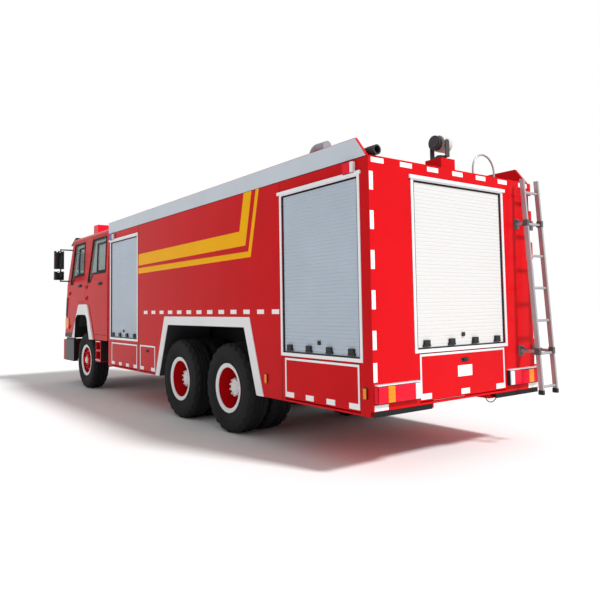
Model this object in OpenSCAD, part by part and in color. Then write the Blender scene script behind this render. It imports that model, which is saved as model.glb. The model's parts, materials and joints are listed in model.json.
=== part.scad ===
// Six-wheel water tender fire engine: crew cab, tank body, lockers and roof gear.
// Millimetres. x runs forward, y to the left, z up from the ground.
// Modules draw with x = 0 at the body's rear face; whole() then centres the part.

/* [Body] */
// Length of the tank section between the locker boxes
tank_len = 4021; // [3980:1:4100]
// Width over the body's side walls
body_w = 2500; // [2460:10:2540]
// Height of the side walls' lower edge
side_low_z = 535; // [520:5:550]
// Height of the rear wall's lower edge
apron_z = 586; // [575:1:600]
// Height of the roof deck's underside
side_top_z = 2880; // [2840:5:2940]
// Thickness of the walls
wall_t = 40; // [30:1:45]
// Length of the locker box at the rear
rear_box_len = 1409; // [1400:1:1480]
// Length of the locker box at the front
front_box_len = 1410; // [1400:1:1480]
// Thickness of the roof deck's plate
deck_t = 10; // [6:1:16]
// Height of the boards along the roof's edges
board_h = 197; // [150:1:240]
// Thickness of the boards along the roof's edges
board_t = 30; // [20:1:40]
// Slant of the boards' rear ends
board_cut = 150; // [50:5:250]

/* [Shutters and flaps] */
// Height of the side shutters' sills
sill_z = 1045; // [1040:1:1070]
// Height of the rear shutter's sill
rear_sill_z = 1104; // [1095:1:1140]
// Height of the shutters' top edges
shutter_top_z = 2715; // [2600:5:2760]
// Width of the post ahead of the rear side shutter
rear_post_w = 27; // [25:1:60]
// Width of the post behind the front side shutter
inner_post_w = 63; // [50:1:100]
// Width of the post ahead of the front side shutter
front_post_w = 123; // [90:1:150]
// Width of the rear shutter
rear_shutter_w = 1358; // [1200:2:1400]
// Thickness of a shutter
shutter_t = 22; // [15:1:26]
// Depth of a shutter behind the wall's face
shutter_recess = 12; // [5:1:14]
// Height of one slat
slat_pitch = 36; // [30:1:60]
// Depth of the groove between two slats
slat_groove = 3; // [2:0.5:6]
// Width of the corner posts at the body's rear
post_w = 158; // [140:1:170]
// Width of the aluminium frame round a shutter
trim_w = 34; // [20:1:36]
// Height of the trims over the wall's face
trim_t = 6; // [3:1:10]
// Distance of a side flap from the body's end
flap_end = 177; // [165:1:220]
// Distance of a side flap from the tank section
flap_side = 60; // [55:1:100]
// Height of the side flaps' top edges
flap_top_z = 990; // [940:1:995]
// Width of the rear flap
rear_flap_w = 1300; // [1100:2:1310]
// Height of the rear flap's top edge
rear_flap_top_z = 1058; // [1020:1:1060]
// Length of the small locker's flap
locker_len = 590; // [500:2:600]
// Gap round a flap
flap_gap = 6; // [5:0.5:8]
// Radius of a flap's hinge pin
flap_pin_r = 8; // [6:0.5:10]
// Engaged length of a flap's hinge pin
flap_pin_len = 40; // [30:1:50]

/* [Wheels] */
// Diameter of a tyre
tyre_d = 1088; // [1070:2:1100]
// Width of a tyre
tyre_w = 300; // [280:2:310]
// Diameter of the rims' bead seats
rim_d = 571; // [550:1:580]
// Distance of the rearmost axle ahead of the rear locker box
axle_ahead = 1241; // [1220:1:1260]
// Distance between the two rear axles
bogie_gap = 1350; // [1330:5:1370]
// Distance of the front axle ahead of the cab's rear wall
cab_axle = 1330; // [1310:5:1350]
// Distance of the rear tyres' outer faces from the middle
rear_tyre_y = 1225; // [1215:1:1230]
// Distance between the centres of twin tyres
twin_gap = 345; // [335:1:350]
// Distance of the front tyres' outer faces from the middle
front_tyre_y = 1190; // [1180:1:1200]
// Distance of the kingpins from the middle
kingpin_y = 825; // [810:1:830]
// Radius of a kingpin
kingpin_r = 25; // [20:1:30]
// Radius of the wheel spindles
spindle_r = 45; // [35:1:55]

/* [Chassis] */
// Height of the frame's top
frame_z = 1040; // [1030:1:1040]
// Height of a frame rail
rail_h = 290; // [250:5:300]
// Flange width of a frame rail
rail_w = 80; // [70:1:90]
// Thickness of a frame rail
rail_t = 9; // [7:0.5:12]
// Width over the frame rails
frame_w = 850; // [820:2:860]
// Distance of the bumper's front face from the front axle
overhang = 1540; // [1530:5:1560]
// Height of the bumper's lower edge
bumper_low_z = 480; // [440:5:520]
// Height of the bumper's top edge
bumper_top_z = 912; // [880:1:915]
// Radius of the towing eyes' bores
tow_r = 25; // [15:1:30]

/* [Cab] */
// Gap between cab and body
cab_gap = 150; // [130:5:160]
// Width of the cab
cab_w = 2440; // [2420:2:2460]
// Height of the cab's lower edge
cab_low_z = 965; // [960:1:970]
// Height of the cab floor's underside
cab_floor_z = 1300; // [1290:2:1310]
// Thickness of the cab floor
floor_t = 50; // [40:1:60]
// Height of the window line
belt_z = 2060; // [2050:1:2070]
// Height of the cab's roof
roof_z = 3020; // [3010:5:3060]
// Thickness of the cab's walls and doors
cab_wall = 55; // [45:1:60]
// Lean of the cab's sides above the window line
cab_lean = 30; // [10:1:40]
// Radius of the cab roof's edges
roof_r = 80; // [70:1:90]
// Gap round a door
door_gap = 6; // [5:0.5:8]
// Radius of a door's hinge pins
door_pin_r = 6; // [5:0.5:7]

/* [Roof gear and ladder] */
// Distance of the ladder's foot behind the body
ladder_back = 260; // [240:2:280]
// Distance of the ladder's head behind the body
ladder_head = 120; // [100:2:140]
// Width of the ladder
ladder_w = 290; // [260:2:300]
// Distance between the rungs
rung_gap = 352; // [250:2:360]
// Radius of the suction hose
hose_r = 42; // [36:1:50]
// Length of the suction hose
hose_len = 2000; // [1500:10:3000]
// Radius of the monitor's pipe
monitor_r = 45; // [38:1:50]
// Place of the monitor, forward of the body's rear face
monitor_x = 2440; // [2200:10:3000]
// Width of the searchlight's pedestal
pedestal_w = 220; // [200:2:270]

/* [Hidden] */
$fn = 48;
running_gap = 0.3;
seat_gap = 0.4;
seam = 0.4;
body_len = rear_box_len + tank_len + front_box_len;
cab_x = body_len + cab_gap;
rear_axle_x = rear_box_len + axle_ahead;
mid_axle_x = rear_axle_x + bogie_gap;
front_axle_x = cab_x + cab_axle;
bumper_front_x = front_axle_x + overhang;
centre_x = (bumper_front_x - ladder_back)/2;
half_w = body_w/2;
inner_y = half_w - wall_t;
front_box_x = body_len - front_box_len;
deck_top_z = side_top_z + deck_t;
tyre_r = tyre_d/2;
rim_r = rim_d/2;
wheel_z = tyre_r;
rail_y = frame_w/2;
rail_low_z = frame_z - rail_h;
box_floor_t = 35;
locker_wall = 20;
locker_floor_t = 15;
chassis_y = rail_y + 5;

// Side shutters: rear edge and length of each
shutter_rows = [
  [post_w, rear_box_len - post_w - rear_post_w],
  [front_box_x + inner_post_w, front_box_len - inner_post_w - front_post_w]];
// Side flaps: rear edge, length and top edge of each
front_flap_drop = 30;
locker_back = 65;
locker_drop = 25;
flap_rows = [
  [flap_end, rear_box_len - flap_end - flap_side, flap_top_z],
  [front_box_x + flap_side, front_box_len - flap_end - flap_side, flap_top_z - front_flap_drop],
  [front_box_x - locker_back - locker_len, locker_len, flap_top_z - locker_drop]];
flap_t = wall_t;
flap_r = flap_t/2;
flap_pin_y = half_w - flap_r;
flap_strip = 20;
flap_pin_z = side_low_z + flap_strip + flap_gap + flap_r;
rear_pin_z = apron_z + flap_strip + flap_gap + flap_r;
rear_cut = rear_flap_w/2 + flap_gap;

// Rear wheel arch: corners of the opening in the side wall
arch_low_rear = rear_axle_x - 736;
arch_top_rear = rear_axle_x - 475;
arch_top_front = mid_axle_x + 306;
arch_low_front = mid_axle_x + 612;
arch_z = 1295;
arch_trim_w = 119;
liner_t = 5;
liner_in_y = 540;

// Cab outline
bumper_t = 200;
front_low_x = bumper_front_x - bumper_t;
front_belt_x = front_low_x - 150;
front_top_x = front_belt_x - 330;
roof_split_z = roof_z - 70;
front_split_x = front_low_x - 240;
pivot_x = front_low_x - 40;
pivot_z = cab_low_z - 60;
pivot_r = 20;
pivot_eye_r = 34;
rail_end_x = front_low_x - 120;
// Headlamps in the bumper: width, height and depth of the recess
head_lamp_y = [660, 1060];
head_lamp_z = [640, 800];
head_lamp_depth = 60;
bumper_r = 120;
// Front towing sockets: place, width of their block, depth
tow_y = 420;
tow_w = 160;
tow_z = (bumper_low_z + head_lamp_z[0])/2;
tow_depth = 120;
half_cab = cab_w/2;
knuckle_r = 11;
hinge_y = half_cab + knuckle_r + 1;
knuckle_h = 36;
// Front wheel arch: inner edge's legs and sides, from the axle, then corner radius and height
arch_legs = [-357, 582];
arch_sides = [-243, 549];
cab_arch_r = 190;
cab_arch_z = 1436;
// Flare round it: outer edge's legs and top corners, from the axle
flare_legs = [-569, 764];
flare_corners = [-150, 290];
flare_r = 100;
flare_z = 1640;
flare_t = 25;
// Housing over the front tyre: inner wall and lower edge
housing_y = 860;
housing_z = 1150;
// Doors: hinge edge, rear edge, lower edge
door_low_z = 1060;
door_top_z = roof_z - 90;
front_door_x = [front_axle_x + 10, front_axle_x + 1020];
rear_door_x = [cab_x + 70, front_axle_x - 120];
door_arch_z = flare_z + 50;
// Lean of the doors' front edges above the window line
front_door_rake = 250;
rear_door_rake = 265;
// Slope of the doors' lower edges along the flare
front_flare_slope = 0.62;
rear_flare_slope = 0.5;
// Windows: frame beside the glass, lower edge, and depth of the corner that dips at the front
window_frame = 60;
window_low_z = belt_z + 165;
window_dip_z = belt_z + 10;

// Searchlight
lamp_x = 325;
lamp_y = -100;
lamp_base_z = deck_top_z + 180;
// Height of its tilt axis above the turntable
lamp_tilt_h = 180;

// Steering
arm_len = 200;
// Half width of the engine and thickness of the bogie's trunnion brackets
engine_y = 340;
trunnion_t = 12;
tie_z = wheel_z - 134;
eye_r = 55;

function arc(cx, cy, r, from, to, n = 6) =
  [for (i = [0:n]) [cx + r*cos(from + (to - from)*i/n), cy + r*sin(from + (to - from)*i/n)]];

module whole() { translate([-centre_x, 0, 0]) children(); }
module both_sides() { children(); mirror([0, 1, 0]) children(); }
module along_x(from, to) {
  translate([from, 0, 0]) rotate([90, 0, 90]) linear_extrude(to - from) children();
}
module along_y(from, to) {
  translate([0, to, 0]) rotate([90, 0, 0]) linear_extrude(to - from) children();
}
module block(low, high) { translate(low) cube(high - low); }
// A flat panel, half a seam smaller on each side than the space between two corners
module panel(low, high) { block(low + [1, 1, 1]*seam/2, high - [1, 1, 1]*seam/2); }
module rod_y(x, z, from, to, r) {
  translate([x, from, z]) rotate([-90, 0, 0]) cylinder(r = r, h = to - from);
}
module rod_x(y, z, from, to, r) {
  translate([from, y, z]) rotate([0, 90, 0]) cylinder(r = r, h = to - from);
}

// Chassis

module channel_rail() {
  along_x(60, rail_end_x) polygon([
    [rail_y, rail_low_z], [rail_y, frame_z], [rail_y - rail_w, frame_z], [rail_y - rail_w, frame_z - rail_t],
    [rail_y - rail_t, frame_z - rail_t], [rail_y - rail_t, rail_low_z + rail_t],
    [rail_y - rail_w, rail_low_z + rail_t], [rail_y - rail_w, rail_low_z]]);
}

module frame() {
  web_y = rail_y - rail_t;
  bogie_x = rear_axle_x + bogie_gap/2;
  // Crossmembers along the frame
  member_x = [200, arch_low_rear, bogie_x, front_box_x - 430, front_box_x + 970, cab_x + 210];
  tow_x = [60, 100, 220];
  tow_eye_z = apron_z + 64;
  color("dimgray") {
    both_sides() {
      channel_rail();
      // Cab pivot blocks with their pins, ahead of the rails
      panel([rail_end_x, 250, rail_low_z], [front_low_x, rail_y, pivot_z + 30]);
      rod_y(pivot_x, pivot_z, 190, 260, pivot_r);
      // Cab rest posts
      panel([cab_x + 60, rail_y - rail_w, frame_z], [cab_x + 140, rail_y, cab_floor_z]);
      // Engine mounts
      panel([front_axle_x + 300, engine_y, rail_low_z + 80],
            [front_axle_x + 420, web_y, rail_low_z + 140]);
      // Bogie trunnion brackets
      panel([bogie_x - 110, rail_y, wheel_z + 70], [bogie_x + 110, rail_y + trunnion_t, frame_z - 40]);
      // Front spring hangers
      for (x = [front_axle_x - 680, front_axle_x + 680])
        panel([x - 45, rail_y - 85, wheel_z + 160], [x + 45, rail_y, rail_low_z]);
    }
    for (x = member_x)
      panel([x - 40, -web_y, rail_low_z + 110], [x + 40, web_y, frame_z - 70]);
    // Rear crossmember with the towing eye
    difference() {
      union() {
        panel([tow_x[0], -web_y, rail_low_z + 40], [tow_x[1], web_y, frame_z - 40]);
        block([tow_x[0] + seam, -30, tow_eye_z - 30], [tow_x[1] - seam, 30, rail_low_z + 80]);
        block([tow_x[0] + seam, -60, tow_eye_z - 30], [tow_x[2], 60, tow_eye_z + 30]);
      }
      translate([140, 0, tow_eye_z - 40]) cylinder(r = tow_r, h = 80);
    }
  }
}

module leaf(half_len, rise, t, z0, n = 8) {
  top = [for (i = [-n:n]) [half_len*i/n, z0 + rise*(i/n)*(i/n)]];
  polygon(concat(top, [for (i = [n:-1:-n]) [half_len*i/n, z0 + rise*(i/n)*(i/n) - t]]));
}

module axles() {
  pad_z = wheel_z + 46;
  spring_y = rail_y - 85;
  bogie_x = rear_axle_x + bogie_gap/2;
  color("darkslategray") {
    // Front beam with springs and kingpin eyes
    difference() {
      union() {
        block([front_axle_x - 45, -spring_y - 90, wheel_z - 60], [front_axle_x + 45, spring_y + 90, pad_z]);
        both_sides() {
          block([front_axle_x - 45, spring_y + 85, wheel_z - 60],
                [front_axle_x + 45, kingpin_y - 20, wheel_z + 50]);
          translate([front_axle_x, kingpin_y, wheel_z - 60]) cylinder(r = eye_r, h = 120);
          translate([front_axle_x, 0, 0]) along_y(spring_y, spring_y + 80)
            leaf(700, wheel_z + 160 - pad_z - 36 - 2*seat_gap, 36, pad_z + 36 + seat_gap);
        }
      }
      both_sides() translate([front_axle_x, kingpin_y, wheel_z - 70])
        cylinder(r = kingpin_r + running_gap, h = 140);
    }
    // Rear housings with the bogie springs
    for (x = [rear_axle_x, rear_axle_x + bogie_gap]) {
      rod_y(x, wheel_z, -560, 560, 80);
      rod_y(x, wheel_z, -rear_tyre_y + 190, rear_tyre_y - 190, spindle_r);
      translate([x, 0, wheel_z]) sphere(r = 215);
    }
    both_sides() translate([bogie_x, 0, 0]) along_y(rail_y + trunnion_t, rail_y + 100)
      leaf(bogie_gap/2 + 60, -120, 90, wheel_z + 160);
  }
}

module engine() {
  floor_clear = cab_floor_z - 60;
  back_x = front_axle_x - 150;
  box_x = back_x - 650;
  shaft_end = rear_axle_x + bogie_gap + 215;
  shaft_len = box_x - shaft_end;
  drop = 250;
  color("slategray") {
    block([back_x, -engine_y, wheel_z + 80], [front_axle_x + 1100, engine_y, floor_clear]);
    block([box_x, -240, wheel_z + 90], [back_x + 1, 240, floor_clear - 240]);
    // Propeller shafts to the first rear axle and between the two
    translate([box_x + 10, 0, wheel_z + drop])
      rotate([0, -90 - atan(drop/(shaft_len + 225)), 0]) cylinder(r = 50, h = shaft_len);
    rod_x(0, wheel_z, rear_axle_x + 215 + seat_gap, rear_axle_x + bogie_gap - 215 - seat_gap, 45);
  }
}

// Plan of the bumper's end, from y0 to its rounded corner
function bumper_end(y0) = concat([[front_low_x, y0], [bumper_front_x, y0]],
  arc(bumper_front_x - bumper_r, half_cab - bumper_r, bumper_r, 0, 90), [[front_low_x, half_cab]]);

module bumper_slab(z0, z1, y0) {
  translate([0, 0, z0 + seam/2]) linear_extrude(z1 - z0 - seam) polygon(bumper_end(y0 + seam/2));
}

module bumper() {
  x0 = front_low_x + seam;
  x1 = bumper_front_x;
  upright_y = [-head_lamp_y[0] + 10, -20, head_lamp_y[0] - 50];
  upright_w = 40;
  slat_h = 30;
  wing = 840;
  color("firebrick") {
    panel([x0, -tow_y + tow_w/2, bumper_low_z], [x1, tow_y - tow_w/2, head_lamp_z[0]]);
    both_sides() {
      // Upper bar, lower corner and the corner beside the headlamp
      bumper_slab(head_lamp_z[1], bumper_top_z, 0);
      bumper_slab(bumper_low_z, head_lamp_z[0], tow_y + tow_w/2);
      bumper_slab(head_lamp_z[0], head_lamp_z[1], head_lamp_y[1] + 10);
      // Towing sockets
      difference() {
        panel([x0, tow_y - tow_w/2, bumper_low_z], [x1, tow_y + tow_w/2, head_lamp_z[0]]);
        rod_x(tow_y, tow_z, x1 - tow_depth, x1 + 1, tow_r);
      }
      // Plate behind the headlamp
      panel([x0, head_lamp_y[0] - 10, head_lamp_z[0]],
            [x1 - head_lamp_depth, head_lamp_y[1] + 10, head_lamp_z[1]]);
      // Side return
      panel([x1 - wing, half_cab - 90, bumper_low_z], [front_low_x, half_cab, bumper_top_z]);
    }
    // Air intake: uprights and slats between them
    for (y = upright_y)
      panel([x0, y, head_lamp_z[0]], [x1, y + upright_w, head_lamp_z[1]]);
    for (k = [0, 1], z = [head_lamp_z[0] + 20 : 50 : head_lamp_z[1] - slat_h])
      panel([x0 + 40, upright_y[k] + upright_w, z], [x1 - 15, upright_y[k + 1], z + slat_h]);
  }
}

module lamps() {
  // Tail lamps, side markers and warning lamps: from, to
  tail_y = [690, 1232];
  tail_z = [655, 812];
  marker_x = [75, 1690];
  marker_z = [690, 790];
  warning_x = [175, body_len - 300];
  warning_z = [side_top_z - 130, side_top_z - 22];
  color("orangered") both_sides() {
    block([-36, tail_y[0], tail_z[0]], [0, tail_y[1], tail_z[1]]);
    for (x = marker_x)
      block([x, half_w, marker_z[0]], [x + 45, half_w + 12, marker_z[1]]);
    for (x = warning_x)
      block([x, half_w, warning_z[0]], [x + 150, half_w + 28, warning_z[1]]);
    block([bumper_front_x - head_lamp_depth, head_lamp_y[0], head_lamp_z[0] + 1],
          [bumper_front_x - 12, head_lamp_y[1], head_lamp_z[1] - 1]);
  }
}

module steps() {
  step_x = [cab_x + 390, front_axle_x - 660];
  color("firebrick") both_sides() {
    difference() {
      block([step_x[0], 760, 560], [step_x[1], half_cab - 10, cab_low_z - 15]);
      for (z = [620, 790])
        block([step_x[0] + 20, 900, z], [step_x[1] - 20, half_cab, z + 130]);
    }
    block([step_x[0] + 60, rail_y, frame_z - 220], [step_x[0] + 160, 761, frame_z - 120]);
  }
}

// Body

module water_tank() {
  side = inner_y - 60;
  saddle_y = rail_y - 5;
  shoulder_z = arch_z + 100;
  color("indianred") along_x(rear_box_len, front_box_x) polygon([
    [-saddle_y, frame_z], [saddle_y, frame_z], [saddle_y, shoulder_z - 60], [saddle_y + 60, shoulder_z],
    [side, shoulder_z], [side, side_top_z], [-side, side_top_z], [-side, shoulder_z],
    [-saddle_y - 60, shoulder_z], [-saddle_y, shoulder_z - 60]]);
}

module side_flap_pins(row) {
  reach = flap_pin_len + flap_gap;
  from = row[0] - flap_gap;
  to = row[0] + row[1] + flap_gap;
  rod_x(flap_pin_y, flap_pin_z, from - 1, from + reach, flap_pin_r);
  rod_x(flap_pin_y, flap_pin_z, to - reach, to + 1, flap_pin_r);
}

// Seven panels round a wall's two openings; an opening is [from, to, low, top]
module wall_panels(span, heights, lower, upper) {
  rows = [
    [span[0], span[1], upper[3], heights[1]],
    [span[0], upper[0], upper[2], upper[3]],
    [upper[1], span[1], upper[2], upper[3]],
    [span[0], span[1], lower[3], upper[2]],
    [span[0], lower[0], lower[2], lower[3]],
    [lower[1], span[1], lower[2], lower[3]],
    [span[0], span[1], heights[0], lower[2]]];
  for (p = rows)
    panel([p[0], inner_y, p[2]], [p[1], half_w, p[3]]);
}

function flap_opening(row) = [
  row[0] - flap_gap, row[0] + row[1] + flap_gap, flap_pin_z - flap_r - flap_gap, row[2] + flap_gap];

// One side of a locker box with its flap's pins
module box_side(span, flap_row, shutter_row) {
  wall_panels(span, [side_low_z, side_top_z], flap_opening(flap_row),
    [shutter_row[0], shutter_row[0] + shutter_row[1], sill_z, shutter_top_z]);
  side_flap_pins(flap_row);
}

// A wall across the body, open below for the frame
module partition(x) {
  panel([x, -inner_y, frame_z], [x + wall_t, inner_y, side_top_z]);
  both_sides() panel([x, chassis_y, side_low_z], [x + wall_t, inner_y, frame_z]);
}

// Floor, roof and low side lockers of a box between two places
module box_inside(x0, x1) {
  panel([x0, -inner_y, frame_z], [x1, inner_y, frame_z + box_floor_t]);
  panel([x0, -inner_y, side_top_z - wall_t], [x1, inner_y, side_top_z]);
  both_sides() {
    panel([x0, chassis_y, side_low_z], [x1, chassis_y + locker_wall, frame_z]);
    panel([x0, chassis_y + locker_wall, side_low_z], [x1, inner_y, side_low_z + locker_floor_t]);
  }
}

module locker_walls() {
  color("red") {
    // Rear box
    translate([half_w, 0, 0]) rotate([0, 0, 90])
      wall_panels([-half_w, half_w], [apron_z, side_top_z],
        [-rear_cut, rear_cut, rear_pin_z - flap_r - flap_gap, rear_flap_top_z + flap_gap],
        [-rear_shutter_w/2, rear_shutter_w/2, rear_sill_z, shutter_top_z]);
    partition(rear_box_len - wall_t);
    box_inside(wall_t, rear_box_len - wall_t);
    // Front box
    partition(front_box_x);
    partition(body_len - wall_t);
    box_inside(front_box_x + wall_t, body_len - wall_t);
    both_sides() {
      rod_y(flap_r, rear_pin_z, rear_cut - flap_gap - flap_pin_len, rear_cut + 1, flap_pin_r);
      box_side([wall_t, rear_box_len], flap_rows[0], shutter_rows[0]);
      box_side([front_box_x, body_len], flap_rows[1], shutter_rows[1]);
    }
  }
}

function arch_outline(grow, low) = [
  [arch_low_rear - grow*1.2, low], [arch_top_rear - grow, arch_z + grow],
  [arch_top_front + grow, arch_z + grow], [arch_low_front + grow*1.2, low]];

module side_panels() {
  row = flap_rows[2];
  hole = flap_opening(row);
  s = seam/2;
  tank_gap = 60;
  back_y = chassis_y + locker_wall;
  // Cladding carriers between tank and side
  carrier_x = [rear_box_len + 300, front_box_x - 400];
  carrier_w = 80;
  color("red") both_sides() {
    panel([rear_box_len, inner_y, arch_z], [front_box_x, half_w, side_top_z]);
    // Behind and ahead of the arch
    along_y(inner_y + s, half_w - s) polygon([
      [rear_box_len + s, side_low_z + s], [arch_low_rear, side_low_z + s],
      [arch_top_rear, arch_z - s], [rear_box_len + s, arch_z - s]]);
    along_y(inner_y + s, half_w - s) polygon([
      [arch_low_front, side_low_z + s], [hole[0] - s, side_low_z + s],
      [hole[0] - s, arch_z - s], [arch_top_front, arch_z - s]]);
    // Round the small flap
    panel([hole[0], inner_y, hole[3]], [hole[1], half_w, arch_z]);
    panel([hole[0], inner_y, side_low_z], [hole[1], half_w, hole[2]]);
    panel([hole[1], inner_y, side_low_z], [front_box_x, half_w, arch_z]);
    side_flap_pins(row);
    for (x = carrier_x)
      panel([x, inner_y - tank_gap, arch_z + 200], [x + carrier_w, inner_y, side_top_z - 60]);
    // Small locker: back, floor, top and ends
    panel([hole[0], chassis_y, hole[2]], [hole[1], back_y, hole[3]]);
    panel([hole[0], back_y, hole[2]], [hole[1], inner_y, hole[2] + locker_floor_t]);
    panel([hole[0], chassis_y, hole[3]], [hole[1], inner_y, hole[3] + locker_wall]);
    for (x = [hole[0] - locker_wall, hole[1]])
      panel([x, chassis_y, hole[2]], [x + locker_wall, inner_y, hole[3] + locker_wall]);
  }
}

module arch_liners() {
  color([0.12, 0.12, 0.12]) both_sides() along_y(liner_in_y, half_w) difference() {
    polygon(arch_outline(-2*seat_gap, side_low_z));
    polygon(arch_outline(-2*seat_gap - liner_t, side_low_z - 1));
  }
}

module roof_deck() {
  inset = 10;
  color("firebrick") {
    block([inset, board_t + inset - half_w, side_top_z],
          [body_len - board_t - inset, half_w - board_t - inset, deck_top_z]);
    // Searchlight pedestal
    block([lamp_x - pedestal_w/2, lamp_y - pedestal_w/2, deck_top_z - 1],
          [lamp_x + pedestal_w/2, lamp_y + pedestal_w/2, lamp_base_z]);
    // Monitor riser with its flange
    translate([monitor_x, 0, deck_top_z - 1]) cylinder(r = 130, h = 21);
    translate([monitor_x, 0, deck_top_z]) cylinder(r = 75, h = 340);
    // Tank filler neck
    translate([3800, 0, deck_top_z - 1]) cylinder(r = 280, h = 90);
  }
}

module side_boards() {
  color("gray") {
    both_sides() along_y(half_w - board_t, half_w) polygon([
      [20, side_top_z], [body_len, side_top_z], [body_len, side_top_z + board_h],
      [20 + board_cut, side_top_z + board_h]]);
    block([body_len - board_t, board_t - half_w, side_top_z],
          [body_len, half_w - board_t, side_top_z + board_h]);
  }
}

// Outline of a shutter's slats: depth across, height up
function slat_outline(low, high) =
  let (n = floor((high - low)/slat_pitch), p = (high - low)/n)
  concat([[0, low], [0, high]],
    [for (i = [n - 1:-1:0], k = [0:3])
      [shutter_t - [slat_groove, 0, 0, slat_groove][k], low + p*(i + [1, 0.86, 0.14, 0][k])]]);

module shutters() {
  y0 = half_w - shutter_recess - shutter_t;
  color("lightsteelblue") {
    for (row = shutter_rows)
      both_sides() along_x(row[0], row[0] + row[1]) translate([y0, 0])
        polygon(slat_outline(sill_z, shutter_top_z));
    rotate([0, 0, 90]) translate([0, -shutter_recess - shutter_t, 0])
      along_x(-rear_shutter_w/2, rear_shutter_w/2) polygon(slat_outline(rear_sill_z, shutter_top_z));
  }
}

module frame_ring(x0, x1, z0, z1, w) {
  difference() {
    translate([x0 - w, z0 - w]) square([x1 - x0 + 2*w, z1 - z0 + 2*w]);
    translate([x0, z0]) square([x1 - x0, z1 - z0]);
  }
}

module trims() {
  color("silver") {
    both_sides() {
      for (row = shutter_rows)
        along_y(half_w, half_w + trim_t)
          frame_ring(row[0], row[0] + row[1], sill_z, shutter_top_z, trim_w);
      // Band round the wheel arch
      along_y(half_w, half_w + trim_t) difference() {
        polygon(arch_outline(arch_trim_w, side_low_z));
        polygon(arch_outline(0, side_low_z - 1));
      }
    }
    rotate([0, 0, 90]) along_y(0, trim_t)
      frame_ring(-rear_shutter_w/2, rear_shutter_w/2, rear_sill_z, shutter_top_z, trim_w);
  }
}

module ladder() {
  top_z = side_top_z + 10;
  low_z = apron_z - 30;
  run = top_z - low_z;
  lean = atan((ladder_back - ladder_head)/run);
  len = run/cos(lean);
  y0 = -half_w + 20;
  first_rung = 78;
  rungs = floor((len - first_rung - 80)/rung_gap);
  stile_d = 50;
  stile_w = 26;
  color("lightgray") {
    intersection() {
      translate([-ladder_back, y0, low_z]) rotate([0, lean, 0]) {
        for (y = [0, ladder_w - stile_w])
          translate([0, y, -40]) cube([stile_d, stile_w, len + 80]);
        for (i = [0:rungs])
          translate([stile_d/2, stile_w + seam, first_rung + i*rung_gap]) rotate([-90, 0, 0])
            cylinder(r = 15, h = ladder_w - 2*stile_w - 2*seam);
      }
      block([-ladder_back, y0 - 10, low_z], [0, y0 + ladder_w + 10, top_z]);
    }
    // Brackets to the rear wall
    for (z = [apron_z + 420, side_top_z - 480], y = [y0, y0 + ladder_w - stile_w])
      block([-ladder_back + (z - low_z)*tan(lean) + stile_d/2, y, z - 15], [0, y + stile_w, z + 15]);
    // Hand hoop on the roof
    translate([300, -810, deck_top_z]) {
      hoop_r = 190;
      tube_r = 11;
      for (y = [-hoop_r, hoop_r])
        translate([0, y, 0]) cylinder(r = tube_r, h = 140);
      translate([0, 0, 140]) rotate([90, 0, 90]) rotate_extrude(angle = 180)
        translate([hoop_r, 0]) circle(r = tube_r);
    }
  }
}

module suction_hose() {
  y = half_w - board_t - hose_r - 25;
  z = deck_top_z + hose_r + 8;
  end_x = -20;
  cuff = 110;
  wall = 8;
  color([0.1, 0.1, 0.1]) difference() {
    union() {
      rod_x(y, z, end_x, end_x + hose_len, hose_r);
      for (x = [end_x, end_x + hose_len - cuff])
        rod_x(y, z, x, x + cuff, hose_r + 5);
      // Saddles on the deck
      for (x = [200, hose_len - 500])
        block([x, y - 30, deck_top_z], [x + 60, y + 30, z]);
    }
    rod_x(y, z, end_x - 1, end_x + 2*cuff, hose_r - wall);
  }
}

// Flaps: a plate with a rounded lower edge on two pins

module flap(len, pin_z, top_z) {
  difference() {
    union() {
      rod_x(0, pin_z, 0, len, flap_r);
      block([0, -flap_r, pin_z], [len, flap_r, top_z]);
    }
    for (x = [-1, len - flap_pin_len - 3])
      rod_x(0, pin_z, x, x + flap_pin_len + 4, flap_pin_r + running_gap);
  }
}

module side_flap(row) {
  color("red") translate([row[0], flap_pin_y, 0]) flap(row[1], flap_pin_z, row[2]);
}

module rear_flap() {
  color("red") translate([flap_r, -rear_flap_w/2, 0]) rotate([0, 0, 90])
    flap(rear_flap_w, rear_pin_z, rear_flap_top_z);
}

// Wheels

module tyre(y) {
  h = tyre_w/2;
  translate([0, y, 0]) rotate([-90, 0, 0]) rotate_extrude() polygon([
    [rim_r + 1, -h + 30], [rim_r + 22, -h + 20], [rim_r + 110, -h], [tyre_r - 80, -h], [tyre_r - 22, -h + 10],
    [tyre_r, -h + 40], [tyre_r, h - 40], [tyre_r - 22, h - 10], [tyre_r - 80, h], [rim_r + 110, h],
    [rim_r + 22, h - 20], [rim_r + 1, h - 30]]);
}

module rim_barrel(y) {
  h = tyre_w/2;
  translate([0, y, 0]) rotate([-90, 0, 0]) rotate_extrude() polygon([
    [rim_r - 22, -h + 26], [rim_r, -h + 26], [rim_r, h - 26], [rim_r - 22, h - 26]]);
}

module front_rim_shape() {
  yc = front_tyre_y - tyre_w/2;
  difference() {
    union() {
      rim_barrel(yc);
      translate([0, yc, 0]) rotate([-90, 0, 0]) rotate_extrude() polygon([
        [rim_r - 21, 0], [rim_r - 21, 30], [190, 92], [110, 92], [110, 120], [60, 130], [0, 130], [0, -90],
        [120, -90], [120, 60], [190, 72]]);
    }
    rod_y(0, 0, yc - 100, yc + 110, spindle_r + running_gap);
  }
}

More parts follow.
